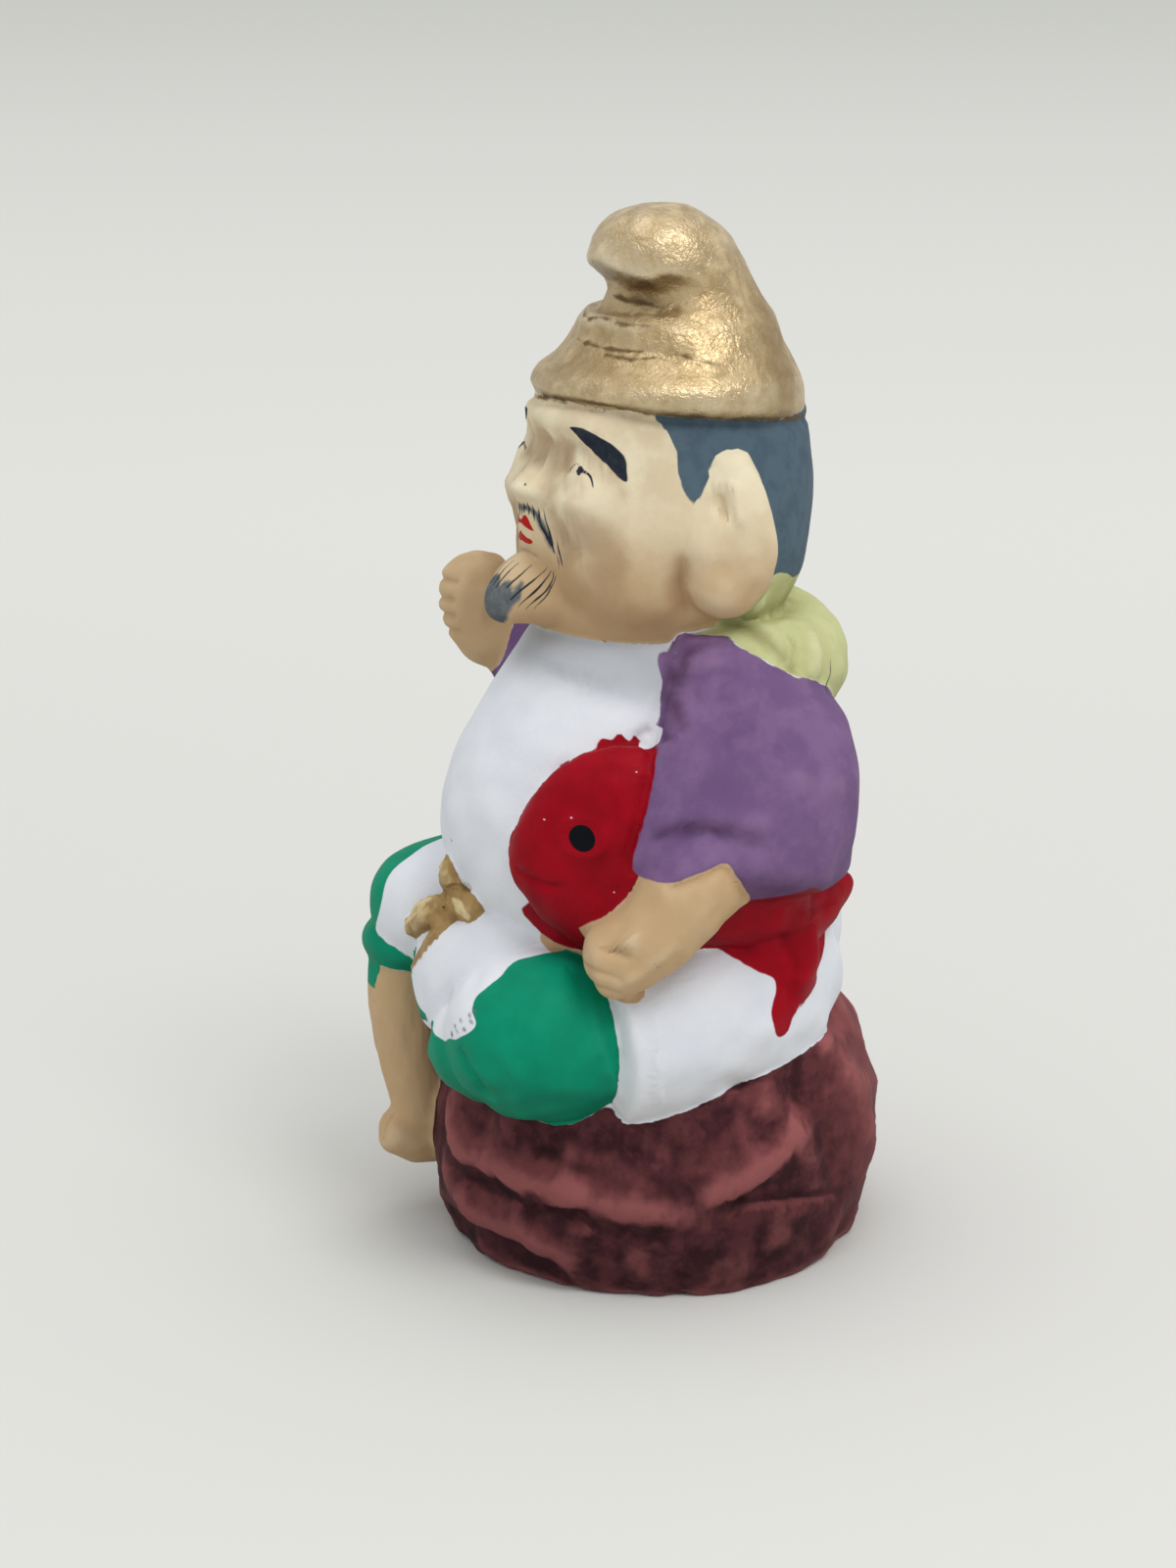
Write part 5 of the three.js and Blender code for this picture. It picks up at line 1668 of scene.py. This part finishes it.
class PaintedClay:
    """The material of the whole doll: all paints, their wear, and the dirt and painted shade in the hollows and on the
    undersides.
    """

    GRAIN = 0.5
    DEEP = (0.1, 0.9)
    HIGH = (-0.1, -0.9)
    SHEEN = 0.1
    FOOT = (0.03, 0.002)
    # Heights, in metres, over which the skin turns browner: a brown tint and painted shade.
    TINT_AND_SHADE_HEIGHTS = (0.102, 0.084)
    PALE = (0.006, 0.026)

    def __init__(self) -> None:
        """Builds the node tree."""
        self.graph = Graph("painted_clay")
        g = self.graph
        self.clouds: dict[float, Value] = {}
        self.wobble = g.noise(1.6, seed=10.0) - 0.5
        hollow = g.field("hollow")
        uneven = g.noise(2.4, detail=3.0, seed=61.0) - 0.5
        self.deep = (hollow + uneven * 0.08).ramp(*self.DEEP)
        self.high = (hollow + (g.noise(1.3, detail=4.0, seed=62.0) - 0.5) * 0.35).ramp(*self.HIGH)
        # Painted shade: surfaces that face down are darkened as though in shadow.
        self.under = (g.field("under") + uneven * 0.4).ramp(0.0, 0.9)
        # Where surfaces face upwards: the rock's top is painted lighter there, as if lit from above.
        self.up = (uneven * 0.6 - g.field("under")).ramp(0.0, 0.7)
        height = g.output("ShaderNodeSeparateXYZ", {}, {0: g.place}, "Z")
        self.low = (height + uneven * 0.006).ramp(*self.TINT_AND_SHADE_HEIGHTS)
        self.back = (g.output("ShaderNodeSeparateXYZ", {}, {0: g.place}, "Y") + uneven * 0.02).ramp(*self.PALE)
        # Painted shade: the rock darkens towards its bottom.
        self.foot = (height + uneven * 0.006).ramp(*self.FOOT)
        colour: Value | Colour = Paint.ROBE.value.colour
        rough: Value | float = Paint.ROBE.value.rough
        metal: Value | float = 0.0
        masks: dict[str, Value] = {}
        for paint in (*Paint, *Detail):
            finish = paint.value
            mask = self.mask(finish) * finish.strength
            if finish.on:
                mask = mask * masks[finish.on]
            masks[finish.name] = mask
            colour = g.mix(mask, colour, self.tone(finish))
            rough = g.blend(mask, rough, finish.rough)
            metal = g.blend(mask, metal, self.foil() if paint is Paint.CAP else 0.0)
        normal = self.relief(masks["cap"], masks["rock"])
        shader = g.add("ShaderNodeBsdfPrincipled", {}, {
            "Base Color": colour, "Roughness": rough, "Metallic": metal, "Normal": normal,
            "Specular IOR Level": self.SHEEN})
        g.close(shader)

    def mask(self, finish: Finish) -> Value:
        """Returns where a paint lies, with the wobble of a hand-held brush."""
        return (self.graph.field(finish.name) + self.wobble * finish.wobble).ramp(-finish.edge, finish.edge)

    def patches(self, size: float) -> Value:
        """Returns a paint's patches of one size, built once for all paints that have it."""
        if size not in self.clouds:
            self.clouds[size] = self.graph.noise(size, detail=4.0, rough=0.6, seed=30.0 + size).ramp(0.4, 0.65)
        return self.clouds[size]

    def tone(self, finish: Finish) -> Value:
        """Returns a paint's colour with its patches, rubbed ridges, and dirt with painted shade in the hollows and on
        the undersides.
        """
        g = self.graph
        share = self.patches(finish.patch_size) * finish.patchiness
        # Brown tint and painted shade: below the eyes the skin turns browner towards the bottom.
        if finish is Paint.SKIN.value:
            share = share.most(self.low * 0.85)
        # Painted light: the rock's top takes the lighter colour as if lit from above; it is also lighter towards the
        # back.
        if finish is Paint.ROCK.value:
            share = share.most(self.up * 0.95).most(self.back * 0.75)
        colour = g.mix(share, finish.colour, finish.patch)
        colour = g.mix(self.high * finish.wear, colour, finish.rubbed)
        # Dirt and painted shade: darker in the hollows and on surfaces facing down.
        dark = self.deep.most(self.under * 0.7)
        if finish is Paint.ROCK.value:
            dark = dark.most(self.foot * 0.6)
        return g.mix(dark * finish.grime_and_shade_share, colour, finish.grime_and_shade)

    def foil(self) -> Value:
        """Returns how metallic the cap is: less where the gilding is rubbed away."""
        return self.graph.noise(2.2, detail=4.0, seed=71.0).ramp(0.7, 0.45) * 0.75

    def relief(self, cap: Value, rock: Value) -> Value:
        """Returns the normal with the grain of the clay, the cap's fine wrinkles and the rock's pits."""
        g = self.graph
        grain = g.noise(self.GRAIN, detail=3.0, seed=5.0) * 0.12
        wrinkles = (g.noise(0.7, detail=3.0, seed=6.0, distortion=1.0) * 0.6
                    + g.noise(1.8, detail=3.0, seed=8.0, distortion=2.0) * 0.5)
        pits = g.noise(1.2, detail=4.0, rough=0.6, seed=7.0) * 0.3
        height = grain + wrinkles * cap + pits * rock
        return g.output("ShaderNodeBump", {}, {"Strength": 0.7, "Distance": 0.0004, "Height": height}, "Normal")


class Painter:
    """Works out the paint fields of the skin's points."""

    ZONES: dict[str, tuple[Zone, ...]] = {
        "robe": (Zone.ROBE,),
        "skin": (Zone.HEAD, Zone.EAR, Zone.HAND, Zone.LEG),
        "collar": (Zone.COLLAR,),
        "coat": (Zone.COAT,),
        "trouser": (Zone.TROUSER,),
        "fish": (Zone.FISH,),
        "bow": (Zone.BOW,),
        "rock": (Zone.ROCK,),
        "cap": (Zone.CAP,),
    }
    HAIR: Sequence[Spot] = (
        (-7.2, 107.8), (-5.5, 105.3), (-4.4, 103.0), (-4.3, 99.7), (-4.2, 97.2), (-3.8, 96.3), (-2.6, 96.2),
        (-1.8, 97.8), (-0.3, 100.7), (1.6, 100.6), (3.0, 98.0), (4.2, 93.0), (5.2, 89.0), (7.0, 86.6), (9.6, 85.6),
        (14.0, 85.4), (19.0, 85.8), (24.0, 90.0), (24.0, 110.0), (8.0, 112.0), (-6.0, 111.0))
    NAPE: Sequence[Spot] = ((6.0, 86.4), (9.6, 85.8), (14.0, 85.6), (19.0, 86.0), (24.0, 86.0), (24.0, 70.0), (6.0, 72.0))

    def __init__(self, points: Array, gaps: dict[Zone, Array]) -> None:
        """Keeps the points and their distances to the zones."""
        self.points = points
        self.gaps = gaps

    def fields(self) -> dict[str, Array]:
        """Returns the paints' fields, in millimetres, above 0 where the paint lies."""
        near = {name: np.minimum.reduce([self.gaps[zone] for zone in zones]) for name, zones in self.ZONES.items()}
        result = {}
        for name, gap in near.items():
            others = np.minimum.reduce([other for key, other in near.items() if key != name])
            result[name] = others - gap
        side = self.points[:, 1:]
        off_ear = np.minimum(self.gaps[Zone.EAR], 3.0) - self.gaps[Zone.HEAD]
        on_head = np.minimum(result["skin"], off_ear)
        result["hair"] = np.minimum(on_head, depth_inside(rounded(self.HAIR), side))
        nape = np.minimum(on_head, depth_inside(rounded(self.NAPE), side))
        result["collar"] = np.maximum(result["collar"], nape)
        return result


class Studio:
    """The pale floor, the soft lights and the camera."""

    CAMERA_AT: Point = (388.5, -190.3, 181.9)
    CAMERA_TO: Point = (-3.50, -7.51, 57.91)
    FOCAL_PIXELS = 3674.45
    IMAGE_HEIGHT = 1600
    SENSOR = 36.0
    FLOOR = 24.0
    NEAR_FLOOR = linear(217, 217, 213)
    BEHIND = linear(227, 227, 222)
    FAR_FLOOR = linear(208, 209, 203)
    AIR = (0.98, 0.99, 1.0)
    AIR_STRENGTH = 0.66

    def camera(self) -> None:
        """Adds the camera at the photograph's angle."""
        place, target = (Vector((x - MIDDLE[0], y - MIDDLE[1], z)) * MM for x, y, z in (self.CAMERA_AT, self.CAMERA_TO))
        bpy.ops.object.camera_add(location=place)
        camera = bpy.context.object
        camera.rotation_euler = (target - place).to_track_quat("-Z", "Y").to_euler()
        camera.data.sensor_width = self.SENSOR
        camera.data.lens = self.FOCAL_PIXELS / self.IMAGE_HEIGHT * self.SENSOR
        camera.data.clip_start = 0.01
        bpy.context.scene.camera = camera

    def floor(self) -> bpy.types.Object:
        """Adds the wide floor, its colour carrying painted light: a little lighter behind the doll and darker far away,
        where the light falls off.
        """
        bpy.ops.object.select_all(action="DESELECT")
        bpy.ops.mesh.primitive_plane_add(size=self.FLOOR, location=(0.0, 0.0, 0.0))
        floor = bpy.context.object
        floor.name = "floor"
        graph = Graph("floor_card")
        behind = Vector((self.CAMERA_TO[0] - self.CAMERA_AT[0], self.CAMERA_TO[1] - self.CAMERA_AT[1], 0.0)).normalized()
        distance = graph.output("ShaderNodeVectorMath", {"operation": "DOT_PRODUCT"},
                                {0: graph.place, 1: tuple(behind)}, "Value")
        tone = graph.mix(distance.ramp(0.05, 0.5), self.NEAR_FLOOR, self.BEHIND)
        tone = graph.mix(distance.ramp(0.6, 2.6), tone, self.FAR_FLOOR)
        graph.close(graph.add("ShaderNodeBsdfPrincipled", {}, {"Base Color": tone, "Roughness": 0.95,
                                                              "Specular IOR Level": 0.1}))
        floor.data.materials.append(graph.material)
        return floor

    def lamp(self, kind: str, name: str, place: Point, power: float, colour: Colour, **settings: float) -> None:
        """Adds a lamp that shines from a place on the doll."""
        bpy.ops.object.light_add(type=kind, location=place)
        lamp = bpy.context.object
        lamp.name = name
        lamp.data.energy = power
        lamp.data.color = colour
        for key, value in settings.items():
            setattr(lamp.data, key, value)
        aim = Vector((0.0, 0.0, 0.06)) - Vector(place)
        lamp.rotation_euler = aim.to_track_quat("-Z", "Y").to_euler()

    def build(self) -> None:
        """Adds everything and sets the world's light."""
        self.camera()
        self.floor()
        self.lamp("SUN", "window", (0.05, -0.02, 1.1), 0.85, (1.0, 0.99, 0.97), angle=math.radians(75.0))
        self.lamp("AREA", "card", (0.5, 0.1, 0.8), 2.2, (1.0, 0.99, 0.98), size=0.35)
        world = bpy.data.worlds.new("studio_air")
        world.use_nodes = True
        background = world.node_tree.nodes["Background"]
        background.inputs["Color"].default_value = (*self.AIR, 1.0)
        background.inputs["Strength"].default_value = self.AIR_STRENGTH
        bpy.context.scene.world = world
        bpy.context.scene.view_settings.view_transform = "Standard"


class Doll:
    """The whole doll, from its forms to its painted skin."""

    BROAD = 1.1
    HOLLOW_ROUNDS = 22
    REACHES = (0.75, 0.4, 0.22)
    LONG = 26.0
    NARROW = 0.9
    SOFT = 1.0
    BORDER_ROUNDS = 4
    FAR = -3.0

    def __init__(self) -> None:
        """Lists the sub-assemblies."""
        self.parts: list[Part] = [Rock(), Robe(), Legs(), Bream(), Arms(), Collar(), Head(), Cap(), Bow()]

    def build(self) -> bpy.types.Object:
        """Builds, sculpts and paints the doll.

        Returns:
            The finished piece in the shared frame.
        """
        sculptor = Sculptor(self.parts)
        doll = sculptor.fuse()
        LOG.info("fused %d faces", len(doll.data.polygons))
        sculptor.soften(doll)
        strokes = [stroke for part in self.parts for stroke in part.strokes()]
        marks = [mark for part in self.parts for mark in part.marks()]
        skin = Skin(doll.data)
        self.keep(doll, "base", skin.points)
        gaps = sculptor.gaps(skin.points)
        broad = Modeller(skin)
        push = broad.push([stroke for stroke in strokes if stroke.size >= self.BROAD])
        push += sculptor.crumple(gaps, skin.points)
        skin.write(skin.points + broad.normals * push[:, None])
        skin = Skin(doll.data)
        normals = skin.normals(skin.points)
        even = skin.smooth(skin.points, self.HOLLOW_ROUNDS)
        self.keep(doll, "hollow", np.einsum("ij,ij->i", even - skin.points, normals))
        fine = [stroke for stroke in strokes if stroke.size < self.BROAD]
        modeller = Modeller(Skin(doll.data))
        soft = {paint.value.name for paint in (*Paint, *Detail) if paint.value.edge >= self.SOFT}
        painted = modeller.lines([mark for mark in marks if mark.paint not in soft])
        short = [line for line in painted if line.length() < self.LONG]
        grooves = [(modeller.lay(stroke.path, stroke.side, mirrored), stroke.size) for stroke in fine
                   for mirrored in (False, True)[: 1 + stroke.both]]
        narrow = [line for line, size in grooves if size < self.NARROW]
        for reach, lines in zip(self.REACHES, (painted + [line for line, _ in grooves], short + narrow, short)):
            sculptor.refine(doll, lines, reach)
            LOG.info("%d faces", len(doll.data.polygons))
        skin = Skin(doll.data)
        modeller = Modeller(skin)
        base = self.kept(doll, "base", 3)
        fields = Painter(base, sculptor.gaps(base)).fields()
        fields = {name: skin.smooth(values, self.BORDER_ROUNDS) for name, values in fields.items()}
        for paint in (*Paint, *Detail):
            fields.setdefault(paint.value.name, np.full(len(base), self.FAR))
        modeller.paint(marks, fields)
        push = modeller.push(fine)
        fields["hollow"] = self.kept(doll, "hollow", 1) - 0.5 * push
        points = skin.points + modeller.normals * push[:, None]
        fields["under"] = -skin.normals(points)[:, 2]
        for name in ("base", "hollow"):
            doll.data.attributes.remove(doll.data.attributes[name])
        self.finish(doll, points, fields)
        return doll

    def keep(self, doll: bpy.types.Object, name: str, values: Array) -> None:
        """Writes numbers or vectors on the skin's points."""
        vectors = values.ndim > 1
        layer = doll.data.attributes.new(name, "FLOAT_VECTOR" if vectors else "FLOAT", "POINT")
        layer.data.foreach_set("vector" if vectors else "value", np.ascontiguousarray(values).ravel())

    def kept(self, doll: bpy.types.Object, name: str, width: int) -> Array:
        """Reads numbers or vectors from the skin's points."""
        values = np.empty(len(doll.data.vertices) * width)
        doll.data.attributes[name].data.foreach_get("vector" if width > 1 else "value", values)
        return values.reshape(-1, width) if width > 1 else values

    def finish(self, doll: bpy.types.Object, points: Array, fields: dict[str, Array]) -> None:
        """Moves the skin into the shared frame, writes its fields and dresses it."""
        points = points - [*MIDDLE, 0.0]
        points[:, 2] = np.maximum(points[:, 2], 0.0)
        mesh = doll.data
        mesh.vertices.foreach_set("co", (points * MM).ravel())
        mesh.update()
        for name, values in fields.items():
            self.keep(doll, name, values)
        doll.name = mesh.name = "doll_clay"
        bpy.ops.object.select_all(action="DESELECT")
        doll.select_set(True)
        bpy.context.view_layer.objects.active = doll
        bpy.ops.object.shade_smooth()
        mesh.materials.clear()
        mesh.materials.append(PaintedClay().graph.material)
        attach(doll, "root")
        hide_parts(NODE)
        LOG.info("%s: %d faces", doll.name, len(mesh.polygons))


def main() -> None:
    """Builds the doll and the studio."""
    logging.basicConfig(level=logging.INFO, format="%(name)s: %(message)s")
    doll = Doll()
    doll.build()
    Studio().build()


if __name__ == "__main__":
    main()
